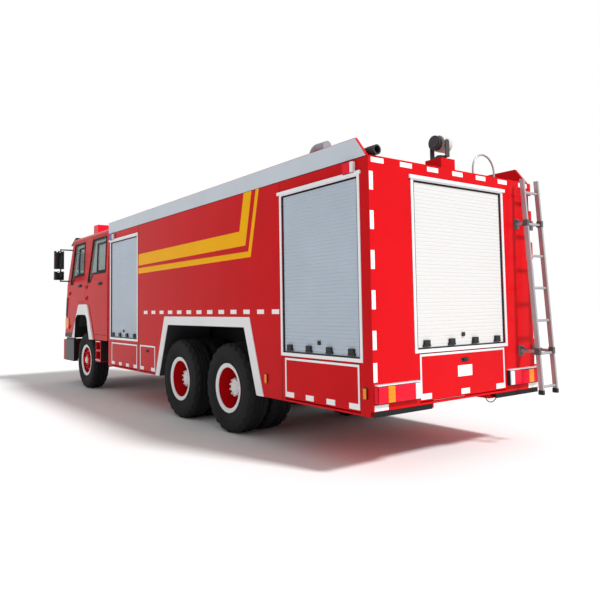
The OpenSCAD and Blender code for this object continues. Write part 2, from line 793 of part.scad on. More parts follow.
module rear_rim_shape() {
  outer = rear_tyre_y - tyre_w/2;
  middle = outer - twin_gap/2;
  difference() {
    union() {
      for (y = [outer, outer - twin_gap])
        rim_barrel(y);
      translate([0, middle, 0]) rotate([-90, 0, 0]) rotate_extrude() polygon([
        [0, -240], [170, -240], [170, -12], [rim_r - 45, -12], [rim_r - 45, -70], [rim_r - 12, -70],
        [rim_r - 12, 70], [rim_r - 45, 70], [rim_r - 45, 12], [150, 12], [120, 150], [90, 190], [0, 190]]);
    }
    rod_y(0, 0, middle - 260, rear_tyre_y - 190 + 5, spindle_r + running_gap);
  }
}

module at_wheel(x, side) { translate([x, 0, wheel_z]) mirror([0, side < 0 ? 1 : 0, 0]) children(); }

module front_tyre(side) {
  color([0.1, 0.1, 0.1]) at_wheel(front_axle_x, side) tyre(front_tyre_y - tyre_w/2);
}
module front_rim(side) { color("firebrick") at_wheel(front_axle_x, side) front_rim_shape(); }
module rear_tyre(x, side) {
  outer = rear_tyre_y - tyre_w/2;
  color([0.1, 0.1, 0.1]) at_wheel(x, side) {
    tyre(outer);
    tyre(outer - twin_gap);
  }
}
module rear_rim(x, side) { color("firebrick") at_wheel(x, side) rear_rim_shape(); }

// Steering

module knuckle(side) {
  color("darkgray") at_wheel(front_axle_x, side) {
    for (z = [61, -101])
      translate([0, kingpin_y, z]) cylinder(r = eye_r, h = 40);
    translate([0, kingpin_y, -101]) cylinder(r = kingpin_r, h = 202);
    block([-50, kingpin_y + eye_r + 4, -101], [50, kingpin_y + eye_r + 34, 101]);
    for (z = [61, -101])
      block([-50, kingpin_y, z], [50, kingpin_y + eye_r + 10, z + 40]);
    rod_y(0, 0, kingpin_y + eye_r + 10, front_tyre_y - tyre_w/2 + 100, spindle_r);
    block([-arm_len - 30, kingpin_y - 30, -101], [0, kingpin_y + 30, -71]);
    translate([-arm_len, kingpin_y, tie_z - wheel_z - 18]) cylinder(r = 12, h = 80);
  }
}

module tie_rod() {
  color("silver") difference() {
    union() {
      rod_y(front_axle_x - arm_len, tie_z, -kingpin_y, kingpin_y, 17);
      both_sides() translate([front_axle_x - arm_len, kingpin_y, tie_z - 18]) cylinder(r = 28, h = 36);
    }
    both_sides() translate([front_axle_x - arm_len, kingpin_y, tie_z - 40])
      cylinder(r = 12 + running_gap, h = 80);
  }
}

// Cab

function cab_side(t) = concat(
  [[cab_x + t, cab_low_z - t], [front_low_x - t, cab_low_z - t], [front_belt_x - t, belt_z]],
  arc(front_top_x - roof_r - t*0.4, roof_z - roof_r, roof_r - t*0.6, 22, 90),
  arc(cab_x + roof_r, roof_z - roof_r, roof_r - t, 90, 180));
function cab_section(t) = concat(
  [[t - half_cab, cab_low_z - t], [half_cab - t, cab_low_z - t], [half_cab - t, belt_z]],
  arc(half_cab - cab_lean - roof_r, roof_z - roof_r, roof_r - t, 0, 90),
  arc(cab_lean + roof_r - half_cab, roof_z - roof_r, roof_r - t, 90, 180),
  [[t - half_cab, belt_z]]);

module cab_solid(t) {
  intersection() {
    along_y(-half_cab - 1, half_cab + 1) polygon(cab_side(t));
    along_x(cab_x - 1, front_low_x + 1) polygon(cab_section(t));
  }
}

module cab_shell() { difference() { cab_solid(0); cab_solid(cab_wall); } }

// Door outlines, a gap g inside their openings
function front_door_outline(g) =
  let (x0 = front_door_x[0] + g, x1 = front_door_x[1] - g,
       foot = front_axle_x + flare_corners[1] + flare_r + 10)
  [[x1, door_low_z + g], [x1, belt_z], [x1 - front_door_rake, door_top_z - g], [x0, door_top_z - g],
   [x0, door_arch_z + g], [foot + g, door_arch_z + g],
   [foot + g + (door_arch_z - door_low_z)*front_flare_slope, door_low_z + g]];
function rear_door_outline(g) =
  let (x0 = rear_door_x[0] + g, x1 = rear_door_x[1] - g,
       foot = front_axle_x + flare_corners[0] - flare_r - 10)
  [[x1, belt_z], [x1 - rear_door_rake, door_top_z - g], [x0, door_top_z - g], [x0, door_low_z + g],
   [foot - g - (door_arch_z - door_low_z)*rear_flare_slope, door_low_z + g],
   [foot - g, door_arch_z + g], [x1, door_arch_z + g]];
// A window that dips at its front corner, behind a door's raked front edge
function window(x0, x1, rake) =
  let (f = window_frame, top = door_top_z - f, lean = rake*(top - window_dip_z)/(door_top_z - belt_z))
  [[x0 + f, window_low_z], [x0 + f, top], [x1 - f - 20 - lean, top], [x1 - f - 20, window_dip_z],
   [x1 - f - 160, window_dip_z], [x1 - f - 300, window_low_z]];
front_window = window(front_door_x[0], front_door_x[1], front_door_rake);
rear_window = window(rear_door_x[0], rear_door_x[1], rear_door_rake);
// Hinges of each door: place along the cab and heights
front_hinges = [front_door_x[1], [door_low_z + 120, belt_z - 180]];
rear_hinges = [rear_door_x[1], [door_arch_z + 70, belt_z - 80]];

module hinge_half(hinges, dx, dz) {
  for (z = hinges[1])
    translate([hinges[0], hinge_y, z + dz]) {
      cylinder(r = knuckle_r, h = knuckle_h);
      block([min(0, dx), -46, 0], [max(0, dx), 6, knuckle_h]);
    }
}

module cab_door(outline, window, hinges) {
  color("red") difference() {
    union() {
      intersection() {
        cab_shell();
        along_y(half_cab - 200, half_cab + 100) polygon(outline);
      }
      hinge_half(hinges, -60, 1);
    }
    along_y(half_cab - 200, half_cab + 10) polygon(window);
    for (z = hinges[1])
      translate([hinges[0], hinge_y, z - 10]) cylinder(r = door_pin_r + running_gap, h = knuckle_h + 40);
  }
}

module door_glass(window) {
  color([0.6, 0.75, 0.8, 0.5]) intersection() {
    difference() { cab_solid(cab_wall/2 - 4); cab_solid(cab_wall/2 + 4); }
    along_y(half_cab - 200, half_cab + 10) polygon(window);
  }
}

module on_side(side) { mirror([0, side < 0 ? 1 : 0, 0]) children(); }

module front_door(side) {
  on_side(side) cab_door(front_door_outline(door_gap), front_window, front_hinges);
}
module rear_door(side) {
  on_side(side) cab_door(rear_door_outline(door_gap), rear_window, rear_hinges);
}

module windscreen_hole() {
  block([front_top_x - 200, -1040, belt_z + 60], [front_low_x + 1, 1040, roof_split_z - 60]);
}
module back_window_hole() {
  block([cab_x - 1, -700, belt_z + 60], [cab_x + 200, 700, roof_split_z - 120]);
}
module front_region() { block([front_split_x, -half_cab - 1, 0], [front_low_x + 1, half_cab + 1, belt_z]); }

module cab_walls() {
  color("red") {
    difference() {
      intersection() {
        cab_shell();
        block([cab_x - 1, -half_cab - 1, 0], [front_low_x + 1, half_cab + 1, roof_split_z]);
      }
      front_region();
      windscreen_hole();
      back_window_hole();
      // The rear wall stops over the frame
      block([cab_x - 1, -rail_y - 60, cab_low_z - 1], [cab_x + cab_wall + 1, rail_y + 60, cab_floor_z]);
      both_sides() {
        along_y(half_cab - 200, half_cab + 10) polygon(front_door_outline(0));
        along_y(half_cab - 200, half_cab + 10) polygon(rear_door_outline(0));
        along_y(half_cab - 200, half_cab + 10) polygon(cab_arch(0));
      }
    }
    both_sides() for (h = [front_hinges, rear_hinges]) {
      hinge_half(h, 60, -knuckle_h);
      for (z = h[1])
        translate([h[0], hinge_y, z - knuckle_h]) cylinder(r = door_pin_r, h = 2*knuckle_h);
    }
  }
}

// Inner edge of the front wheel arch, grown outward
function cab_arch(grow) =
  let (x = front_axle_x, r = cab_arch_r, z = cab_arch_z - r)
  concat([[x + arch_legs[0] - grow, cab_low_z - 1]], arc(x + arch_sides[0] + r, z, r + grow, 180, 90),
    arc(x + arch_sides[1] - r, z, r + grow, 90, 0), [[x + arch_legs[1] + grow, cab_low_z - 1]]);

module flares() {
  x = front_axle_x;
  z = flare_z - flare_r;
  color("white") both_sides() along_y(half_cab, half_cab + flare_t) difference() {
    polygon(concat([[x + flare_legs[0], cab_low_z]], arc(x + flare_corners[0], z, flare_r, 155, 90),
      arc(x + flare_corners[1], z, flare_r, 90, 25), [[x + flare_legs[1], cab_low_z]]));
    polygon(cab_arch(0));
  }
}

// Housing over a front tyre
module wheel_housing() {
  difference() {
    along_y(housing_y - liner_t, half_cab - cab_wall - seat_gap) polygon(cab_arch(liner_t));
    along_y(housing_y, half_cab) polygon(cab_arch(0));
    block([cab_x, 0, 0], [front_low_x, half_cab, housing_z]);
  }
}

module cab_front() {
  grille_z = [1120, 1210, 1300, 1390];
  color("red") difference() {
    intersection() { cab_shell(); front_region(); }
    for (z = grille_z)
      block([front_belt_x - 200, -620, z], [front_low_x + 1, 620, z + 50]);
  }
}

module cab_roof() {
  color("red") intersection() {
    cab_shell();
    block([cab_x - 1, -half_cab - 1, roof_split_z], [front_low_x + 1, half_cab + 1, roof_z + 1]);
  }
}

module cab_floor() {
  arm_y = [200, 240];
  color("gray") {
    difference() {
      intersection() {
        cab_solid(cab_wall);
        block([cab_x, -half_cab, cab_floor_z], [front_low_x, half_cab, cab_floor_z + floor_t]);
      }
      both_sides() along_y(housing_y - liner_t - seat_gap, half_cab) polygon(cab_arch(liner_t + seat_gap));
    }
    both_sides() wheel_housing();
    // Tilt arms on the pivot
    both_sides() difference() {
      union() {
        block([pivot_x - 130, arm_y[0], pivot_z - 20], [pivot_x - 80, arm_y[1], cab_floor_z - seam]);
        block([pivot_x - 130, arm_y[0], pivot_z - 20], [pivot_x, arm_y[1], pivot_z + 25]);
        rod_y(pivot_x, pivot_z, arm_y[0], arm_y[1], pivot_eye_r);
      }
      rod_y(pivot_x, pivot_z, arm_y[0] - 1, arm_y[1] + 1, pivot_r + running_gap);
    }
  }
}

module cab_glass() {
  color([0.6, 0.75, 0.8, 0.5]) {
    intersection() {
      difference() { cab_solid(cab_wall/2 - 5); cab_solid(cab_wall/2 + 5); }
      union() { windscreen_hole(); back_window_hole(); }
    }
  }
}

module light_bar() {
  x = front_axle_x + 440;
  half_len = 820;
  bar_z = [roof_z + 110, roof_z + 290];
  foot_w = 40;
  color("red") {
    block([x, -half_len, bar_z[0]], [x + 260, half_len, bar_z[1]]);
    for (y = [-600, 600 - foot_w])
      block([x + 80, y, roof_z], [x + 180, y + foot_w, bar_z[0] + 1]);
  }
}

module sun_visor() {
  color([0.1, 0.1, 0.1]) difference() {
    along_y(-half_cab + 60, half_cab - 60) polygon([
      [front_top_x - 60, roof_z - 90], [front_top_x + 270, roof_z - 120], [front_top_x + 275, roof_z - 100],
      [front_top_x - 20, roof_z + 30], [front_top_x - 60, roof_z + 30]]);
    cab_solid(0);
  }
}

module mirrors() {
  x = front_door_x[1] + 40;
  y0 = half_cab + 110;
  arm_z = [belt_z + 85, door_top_z - 120];
  tube_r = 14;
  color([0.1, 0.1, 0.1]) both_sides() {
    // Heads: lower edge and height
    for (head = [[arm_z[0] + 255, 380], [arm_z[0] + 25, 180]])
      block([x, y0, head[0]], [x + 70, y0 + 190, head[0] + head[1]]);
    translate([x + 35, y0 + 60, arm_z[0] - tube_r]) cylinder(r = tube_r, h = arm_z[1] - arm_z[0] + 2*tube_r);
    difference() {
      for (z = arm_z)
        rod_y(x + 35, z, half_cab - 90, y0 + 60, tube_r);
      cab_solid(0);
    }
  }
}

module seat(w) {
  floor_top = cab_floor_z + floor_t;
  along_y(-w/2, w/2) polygon([
    [0, floor_top], [460, floor_top], [480, floor_top + 330], [500, floor_top + 430], [90, floor_top + 400],
    [-60, floor_top + 1050], [-170, floor_top + 1030], [-20, floor_top + 300]]);
}

module cab_interior() {
  floor_top = cab_floor_z + floor_t;
  dash_x = front_belt_x - 80;
  wheel_y = 560;
  color([0.2, 0.2, 0.22]) {
    for (y = [-wheel_y, wheel_y])
      translate([front_axle_x + 230, y, 0]) seat(560);
    translate([cab_x + 300, 0, 0]) seat(1900);
    along_y(-1080, 1080) polygon([
      [dash_x - 60, floor_top], [dash_x, floor_top], [dash_x, belt_z - 60], [dash_x - 200, belt_z - 60],
      [dash_x - 260, belt_z - 160], [dash_x - 100, belt_z - 260]]);
    translate([dash_x - 230, wheel_y, belt_z - 130]) rotate([0, -50, 0]) {
      cylinder(r = 30, h = 160);
      translate([0, 0, 160]) cylinder(r = 50, h = 25);
      translate([0, 0, 172]) rotate_extrude() translate([225, 0]) circle(r = 15);
      for (a = [0:120:240])
        rotate([0, 90, a]) translate([-172, 0, 40]) cylinder(r = 12, h = 185);
    }
  }
}

// Roof gear that turns

module monitor_turret() {
  z0 = deck_top_z + 340;
  axis_z = z0 + 190;
  color("lightgray") translate([monitor_x, 0, 0]) difference() {
    union() {
      translate([0, 0, z0 + running_gap]) cylinder(r = 80, h = 60);
      block([-45, -105, z0 + 50], [45, 105, z0 + 90]);
      both_sides() {
        block([-45, 72, z0 + 50], [45, 105, axis_z]);
        rod_y(0, axis_z, 72, 105, 45);
      }
    }
    rod_y(0, axis_z, -106, 106, 20 + running_gap);
  }
}

module monitor_barrel() {
  axis_z = deck_top_z + 340 + 190;
  bend_r = 110;
  color("lightgray") translate([monitor_x, 0, axis_z]) {
    rod_y(0, 0, -104, 104, 20);
    rod_y(0, 0, -65, 65, 62);
    cylinder(r = monitor_r + 6, h = 118);
    translate([-bend_r, 0, 110]) rotate([90, 0, 0]) rotate_extrude(angle = 98)
      translate([bend_r, 0]) circle(r = monitor_r);
    translate([-bend_r, 0, 110]) rotate([0, -98, 0]) translate([bend_r, 0, -8]) {
      cylinder(r = monitor_r + 6, h = 70);
      translate([0, 0, 60]) cylinder(r1 = monitor_r + 10, r2 = monitor_r + 25, h = 150);
    }
  }
}

module searchlight_yoke() {
  color("gray") translate([lamp_x, lamp_y, lamp_base_z + running_gap]) {
    cylinder(r = 70, h = 25);
    block([-110, -30, 20], [110, 30, 36]);
    for (x = [-110, 98])
      block([x, -30, 20], [x + 12, 30, lamp_tilt_h]);
    rod_x(0, lamp_tilt_h, -110, -98, 30);
    rod_x(0, lamp_tilt_h, 98, 110, 30);
    rod_x(0, lamp_tilt_h, -98.5, -80, 12);
    rod_x(0, lamp_tilt_h, 80, 98.5, 12);
  }
}

module searchlight_head() {
  color("darkslategray") translate([lamp_x, lamp_y, lamp_base_z + running_gap + lamp_tilt_h]) difference() {
    union() {
      rod_y(0, 0, -110, 20, 88);
      rod_y(0, 0, 15, 100, 60);
      for (y = [40:20:90])
        rod_y(0, 0, y, y + 8, 78);
    }
    rod_y(0, 0, -111, -95, 80);
    rod_x(0, 0, -95, -78, 12 + running_gap);
    rod_x(0, 0, 78, 95, 12 + running_gap);
  }
}

// Nodes

whole() frame();
whole() axles();
whole() engine();
whole() bumper();
whole() lamps();
whole() steps();
whole() water_tank();
whole() locker_walls();
whole() side_panels();
whole() arch_liners();
whole() roof_deck();
whole() side_boards();
whole() shutters();
whole() trims();
whole() ladder();
whole() suction_hose();
whole() cab_floor();
whole() cab_walls();
whole() cab_front();
whole() cab_roof();
whole() cab_glass();
whole() light_bar();
whole() sun_visor();
whole() mirrors();
whole() flares();
whole() cab_interior();
whole() front_door(1);  // front_door_left
whole() front_door(-1);  // front_door_right
whole() rear_door(1);  // rear_door_left
whole() rear_door(-1);  // rear_door_right
whole() door_glass(front_window);  // front_glass_left
whole() on_side(-1) door_glass(front_window);  // front_glass_right
whole() door_glass(rear_window);  // rear_glass_left
whole() on_side(-1) door_glass(rear_window);  // rear_glass_right
whole() knuckle(1);  // knuckle_left
whole() knuckle(-1);  // knuckle_right
whole() tie_rod();
whole() front_tyre(1);  // front_tyre_left
whole() front_tyre(-1);  // front_tyre_right
whole() front_rim(1);  // front_rim_left
whole() front_rim(-1);  // front_rim_right
whole() rear_tyre(mid_axle_x, 1);  // mid_tyres_left
whole() rear_tyre(mid_axle_x, -1);  // mid_tyres_right
whole() rear_rim(mid_axle_x, 1);  // mid_rims_left
whole() rear_rim(mid_axle_x, -1);  // mid_rims_right
whole() rear_tyre(rear_axle_x, 1);  // rear_tyres_left
whole() rear_tyre(rear_axle_x, -1);  // rear_tyres_right
whole() rear_rim(rear_axle_x, 1);  // rear_rims_left
whole() rear_rim(rear_axle_x, -1);  // rear_rims_right
whole() side_flap(flap_rows[0]);  // rear_flap_left
whole() on_side(-1) side_flap(flap_rows[0]);  // rear_flap_right
whole() side_flap(flap_rows[1]);  // front_flap_left
whole() on_side(-1) side_flap(flap_rows[1]);  // front_flap_right
whole() side_flap(flap_rows[2]);  // locker_left
whole() on_side(-1) side_flap(flap_rows[2]);  // locker_right
whole() rear_flap();  // tail_flap
whole() monitor_turret();
whole() monitor_barrel();
whole() searchlight_yoke();
whole() searchlight_head();
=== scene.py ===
"""Looks of the fire engine: finishes, striping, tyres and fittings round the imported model."""
import json
import math

import bmesh
import bpy
from mathutils import Matrix, Vector


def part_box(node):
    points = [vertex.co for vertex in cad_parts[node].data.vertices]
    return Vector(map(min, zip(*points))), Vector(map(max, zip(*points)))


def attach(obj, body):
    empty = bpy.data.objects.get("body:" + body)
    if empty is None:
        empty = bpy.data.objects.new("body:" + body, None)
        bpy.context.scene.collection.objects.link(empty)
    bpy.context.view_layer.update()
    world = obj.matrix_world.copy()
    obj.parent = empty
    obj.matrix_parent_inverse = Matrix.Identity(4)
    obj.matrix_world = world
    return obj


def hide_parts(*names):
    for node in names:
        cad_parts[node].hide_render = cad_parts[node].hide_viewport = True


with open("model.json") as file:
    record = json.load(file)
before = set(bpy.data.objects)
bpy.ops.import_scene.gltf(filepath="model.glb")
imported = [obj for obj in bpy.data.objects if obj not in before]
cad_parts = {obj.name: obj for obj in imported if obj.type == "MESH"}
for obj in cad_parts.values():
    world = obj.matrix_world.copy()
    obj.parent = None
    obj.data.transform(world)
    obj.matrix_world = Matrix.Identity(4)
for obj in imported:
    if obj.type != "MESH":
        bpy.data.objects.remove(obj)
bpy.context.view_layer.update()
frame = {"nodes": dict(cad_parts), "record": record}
nodes = frame["nodes"]

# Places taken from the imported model, in metres
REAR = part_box("locker_walls")[0][0]
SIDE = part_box("side_panels")[1][1]
SIDE_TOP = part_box("side_panels")[1][2]
FLARE_REACH = 0.025
CAB_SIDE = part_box("flares")[1][1] - FLARE_REACH
SIDES = ((1, "left"), (-1, "right"))
SIGNS = (1, -1)


def station(distance):
    """x of a place given as its distance forward of the body's rear face."""
    return REAR + distance


def along_body(outline):
    """An outline of (distance, z) with each distance turned into its x."""
    return [(station(distance), z) for distance, z in outline]


# Shapes

class Shape:
    """A mesh gathered from simple solids, finished as one piece on one body."""

    def __init__(self):
        self.bm = bmesh.new()

    def box(self, low, high):
        low = Vector(low)
        high = Vector(high)
        matrix = Matrix.Translation((low + high) / 2) @ Matrix.Diagonal((*(high - low), 1))
        bmesh.ops.create_cube(self.bm, size=1, matrix=matrix)

    def rod(self, start, end, radius, sides=20):
        start = Vector(start)
        run = Vector(end) - start
        turn = run.to_track_quat("Z", "Y").to_matrix().to_4x4()
        matrix = Matrix.Translation(start + run / 2) @ turn
        bmesh.ops.create_cone(self.bm, cap_ends=True, segments=sides, radius1=radius,
                              radius2=radius, depth=run.length, matrix=matrix)

    def lathe(self, profile, centre, axis, steps=48, close=False):
        """Turns (radius, along) points round an axis through centre."""
        axis = Vector(axis).normalized()
        first = axis.orthogonal().normalized()
        second = axis.cross(first)
        rings = []
        for step in range(steps):
            angle = math.tau * step / steps
            out = first * math.cos(angle) + second * math.sin(angle)
            rings.append([self.bm.verts.new(Vector(centre) + out * r + axis * a) for r, a in profile])
        count = len(profile)
        for step in range(steps):
            here = rings[step]
            there = rings[(step + 1) % steps]
            for k in range(count if close else count - 1):
                self.bm.faces.new((here[k], here[(k + 1) % count], there[(k + 1) % count], there[k]))

    def prism(self, outline, place, low, high):
        """Extrudes an outline; place(u, v, w) gives the point at depth w."""
        lower = [self.bm.verts.new(place(u, v, low)) for u, v in outline]
        upper = [self.bm.verts.new(place(u, v, high)) for u, v in outline]
        count = len(outline)
        self.bm.faces.new(lower)
        self.bm.faces.new(upper)
        for k in range(count):
            n = (k + 1) % count
            self.bm.faces.new((lower[k], lower[n], upper[n], upper[k]))

    def band(self, outer, inner, place, low, high):
        """A frame between two outlines with as many points."""
        count = len(outer)
        rows = [[self.bm.verts.new(place(u, v, w)) for u, v in line]
                for line, w in ((outer, low), (outer, high), (inner, high), (inner, low))]
        for k in range(count):
            n = (k + 1) % count
            for r in range(4):
                a, b = rows[r], rows[(r + 1) % 4]
                self.bm.faces.new((a[k], a[n], b[n], b[k]))

    def tube(self, points, radius, sides=10):
        """A round bar swept along points."""
        points = [Vector(p) for p in points]
        turns = [math.tau * s / sides for s in range(sides)]
        rings = []
        side = None
        for k, point in enumerate(points):
            run = (points[min(k + 1, len(points) - 1)] - points[max(k - 1, 0)]).normalized()
            if side is None:
                side = run.orthogonal().normalized()
            else:
                side = (side - run * side.dot(run)).normalized()
            up = run.cross(side)
            ring = [point + (side * math.cos(a) + up * math.sin(a)) * radius for a in turns]
            rings.append([self.bm.verts.new(place) for place in ring])
        for here, there in zip(rings, rings[1:]):
            for s in range(sides):
                n = (s + 1) % sides
                self.bm.faces.new((here[s], here[n], there[n], there[s]))
        self.bm.faces.new(rings[0])
        self.bm.faces.new(rings[-1])

    def done(self, name, body, slot, material, bevel=0.0, smooth=False):
        """Links the mesh as one piece that rides on a body, with its finish; slot is not used."""
        bmesh.ops.recalc_face_normals(self.bm, faces=self.bm.faces)
        mesh = bpy.data.meshes.new(name)
        self.bm.to_mesh(mesh)
        self.bm.free()
        if smooth:
            mesh.shade_smooth()
        piece = bpy.data.objects.new(name, mesh)
        bpy.context.scene.collection.objects.link(piece)
        mesh.materials.append(material)
        if bevel:
            edge = piece.modifiers.new("edges", "BEVEL")
            edge.width = bevel
            edge.segments = 2
            edge.limit_method = "ANGLE"
        if smooth:
            piece.modifiers.new("angle", "EDGE_SPLIT").split_angle = math.radians(35)
        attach(piece, body)
        return piece


def on_side(sign):
    """Places an outline of (x, z) at depth w outward of the body's middle."""
    return lambda x, z, w: (x, sign * w, z)


def on_rear(y, z, w):
    """Places an outline of (y, z) at depth w behind the body's rear face."""
    return (REAR - w, y, z)


def rectangle(u0, v0, u1, v1):
    return [(u0, v0), (u1, v0), (u1, v1), (u0, v1)]


def offset(outline, step):
    """An outline moved outward by a step, each corner along its mitre."""
    pairs = list(zip(outline, outline[1:] + outline[:1]))
    turn = 1 if sum(a[0] * b[1] - b[0] * a[1] for a, b in pairs) > 0 else -1
    normals = []
    for a, b in pairs:
        run = Vector((b[0] - a[0], b[1] - a[1])).normalized()
        normals.append(Vector((run.y, -run.x)) * turn)
    moved = []
    for k, (u, v) in enumerate(outline):
        out = normals[k - 1] + normals[k]
        out = out / (1 + normals[k - 1].dot(normals[k]))
        moved.append((u + out.x * step, v + out.y * step))
    return moved


def arc(u, v, radius, start, end, steps=12):
    """Points on an arc, by angles in degrees."""
    turns = [math.radians(start + (end - start) * k / steps) for k in range(steps + 1)]
    return [(u + radius * math.cos(a), v + radius * math.sin(a)) for a in turns]


def mirrored(sign, inner, outer):
    """The low and high y of a span that lies on one side."""
    return sorted((sign * inner, sign * outer))


# Materials

# Scale of the broad mottling, spread of the roughness about its mean, depth of the relief in metres
MOTTLE_SCALE = 1.7
GLOSSIER, DULLER = 0.06, 0.08
RELIEF_DEPTH = 0.002


def material(name, colour, roughness, metallic=0.0, spread=0.06, grain=40.0, bump=0.05,
             stretch=(1, 1, 1), **sockets):
    """A finish with mottled colour, uneven gloss and a fine relief."""
    made = bpy.data.materials.new(name)
    made.use_nodes = True
    tree = made.node_tree
    shader = tree.nodes["Principled BSDF"]
    place = tree.nodes.new("ShaderNodeTexCoord")
    scale = tree.nodes.new("ShaderNodeMapping")
    scale.inputs["Scale"].default_value = stretch
    noise = tree.nodes.new("ShaderNodeTexNoise")
    noise.inputs["Scale"].default_value = grain
    noise.inputs["Detail"].default_value = 4
    broad = tree.nodes.new("ShaderNodeTexNoise")
    broad.inputs["Scale"].default_value = MOTTLE_SCALE
    broad.inputs["Detail"].default_value = 3
    tree.links.new(place.outputs["Object"], scale.inputs["Vector"])
    tree.links.new(scale.outputs["Vector"], noise.inputs["Vector"])
    tree.links.new(place.outputs["Object"], broad.inputs["Vector"])
    ramp = tree.nodes.new("ShaderNodeValToRGB")
    ramp.color_ramp.elements[0].color = (*[c * (1 - spread) for c in colour], 1)
    ramp.color_ramp.elements[1].color = (*[min(1.0, c * (1 + spread)) for c in colour], 1)
    ramp.color_ramp.elements[0].position = 0.3
    ramp.color_ramp.elements[1].position = 0.7
    tree.links.new(broad.outputs["Fac"], ramp.inputs["Fac"])
    tree.links.new(ramp.outputs["Color"], shader.inputs["Base Color"])
    gloss = tree.nodes.new("ShaderNodeMapRange")
    gloss.inputs["To Min"].default_value = max(0.02, roughness - GLOSSIER)
    gloss.inputs["To Max"].default_value = min(1.0, roughness + DULLER)
    tree.links.new(noise.outputs["Fac"], gloss.inputs["Value"])
    tree.links.new(gloss.outputs["Result"], shader.inputs["Roughness"])
    relief = tree.nodes.new("ShaderNodeBump")
    relief.inputs["Strength"].default_value = bump
    relief.inputs["Distance"].default_value = RELIEF_DEPTH
    tree.links.new(noise.outputs["Fac"], relief.inputs["Height"])
    tree.links.new(relief.outputs["Normal"], shader.inputs["Normal"])
    shader.inputs["Metallic"].default_value = metallic
    for socket, value in sockets.items():
        shader.inputs[socket.replace("_", " ")].default_value = value
    return made


def colour_split(name, obj, axis, place, below, above):
    """A finish that changes colour across a plane of the part, at a place along one axis."""
    made = material(name, above, 0.34, spread=0.04, bump=0.03, Specular_IOR_Level=0.2)
    tree = made.node_tree
    shader = tree.nodes["Principled BSDF"]
    point = [0, 0, 0]
    point[axis] = place
    local = (obj.matrix_world.inverted() @ Vector(point))[axis]
    coords = tree.nodes.new("ShaderNodeTexCoord")
    split = tree.nodes.new("ShaderNodeSeparateXYZ")
    test = tree.nodes.new("ShaderNodeMath")
    test.operation = "LESS_THAN"
    test.inputs[1].default_value = local
    # A colour mix has its factor at input 0, its colours at inputs 6 and 7 and its result at output 2
    mix = tree.nodes.new("ShaderNodeMix")
    mix.data_type = "RGBA"
    mix.inputs[7].default_value = (*below, 1)
    tree.links.new(coords.outputs["Object"], split.inputs["Vector"])
    tree.links.new(split.outputs["XYZ"[axis]], test.inputs[0])
    tree.links.new(test.outputs["Value"], mix.inputs[0])
    tree.links.new(shader.inputs["Base Color"].links[0].from_socket, mix.inputs[6])
    tree.links.new(mix.outputs[2], shader.inputs["Base Color"])
    return made


RED_COLOUR = (0.64, 0.006, 0.010)
RED = material("red_paint", RED_COLOUR, 0.20, spread=0.05, bump=0.02, Specular_IOR_Level=0.05)
GREY = material("grey_paint", (0.34, 0.37, 0.41), 0.42, spread=0.05, bump=0.03, Specular_IOR_Level=0.3)
BOARD = material("board_film", (0.60, 0.66, 0.73), 0.34, spread=0.03, bump=0.02, Specular_IOR_Level=0.3)
WHITE = material("white_paint", (0.86, 0.87, 0.88), 0.38, spread=0.03, bump=0.03, Specular_IOR_Level=0.3)
REFLECTIVE = material("white_film", (0.92, 0.92, 0.90), 0.30, spread=0.02, grain=220, bump=0.1)
YELLOW = material("yellow_film", (1.0, 0.48, 0.0), 0.32, spread=0.03, bump=0.02, Specular_IOR_Level=0.05)
DARK_STEEL = material("chassis_paint", (0.030, 0.030, 0.033), 0.55, spread=0.25, bump=0.12)
CAST = material("cast_iron", (0.10, 0.10, 0.105), 0.62, metallic=0.4, spread=0.25, grain=120, bump=0.3)
BLACK = material("black_plastic", (0.016, 0.016, 0.017), 0.50, spread=0.15, grain=300, bump=0.12,
                 Specular_IOR_Level=0.3)
# Black of seals, seams and trim, and the painted shade of the sheets under the rear apron
BLACK_SEAL_AND_SHADE = material("black_seal_and_painted_shade", (0.010, 0.010, 0.010), 0.70, spread=0.2, grain=150, bump=0.1,
                Specular_IOR_Level=0.2)
ALUMINIUM = material("aluminium", (0.80, 0.81, 0.83), 0.40, metallic=0.45, spread=0.05, grain=60,
                     bump=0.05, stretch=(1, 1, 30))
STEEL = material("bare_steel", (0.66, 0.66, 0.66), 0.34, metallic=0.85, spread=0.1, grain=90, bump=0.05)
TYRE = material("tyre_rubber", (0.017, 0.0175, 0.019), 0.80, spread=0.3, grain=90, bump=0.3,
                Specular_IOR_Level=0.15)
RUBBER = material("hose_rubber", (0.012, 0.012, 0.013), 0.60, spread=0.25, grain=110, bump=0.2)
INTERIOR = material("cab_trim", (0.055, 0.057, 0.062), 0.85, spread=0.2, grain=400, bump=0.3)
RED_LENS = material("red_lens", (0.88, 0.008, 0.030), 0.14, spread=0.06, grain=140, bump=0.1,
                    Specular_IOR_Level=0.12)
AMBER_LENS = material("amber_lens", (0.95, 0.26, 0.0), 0.14, spread=0.06, grain=140, bump=0.2,
                      Specular_IOR_Level=0.35)
CLEAR_LENS = material("clear_lens", (0.80, 0.81, 0.82), 0.10, spread=0.04, grain=140, bump=0.2)
BLUE_LENS = material("blue_lens", (0.02, 0.08, 0.55), 0.14, spread=0.06, grain=140, bump=0.2,
                     Specular_IOR_Level=0.35)
GLASS = material("tinted_glass", (0.26, 0.36, 0.35), 0.05, spread=0.05, grain=3, bump=0.0, Alpha=0.62)
MIRROR = material("mirror_glass", (0.07, 0.08, 0.085), 0.06, metallic=0.9, spread=0.03, grain=3, bump=0.0)
LADDER = material("ladder_tube", (0.40, 0.40, 0.42), 0.36, metallic=0.5, spread=0.06, grain=90, bump=0.05)
TREAD = material("tread_plate", (0.56, 0.57, 0.58), 0.42, metallic=0.85, spread=0.08, grain=70, bump=0.6)

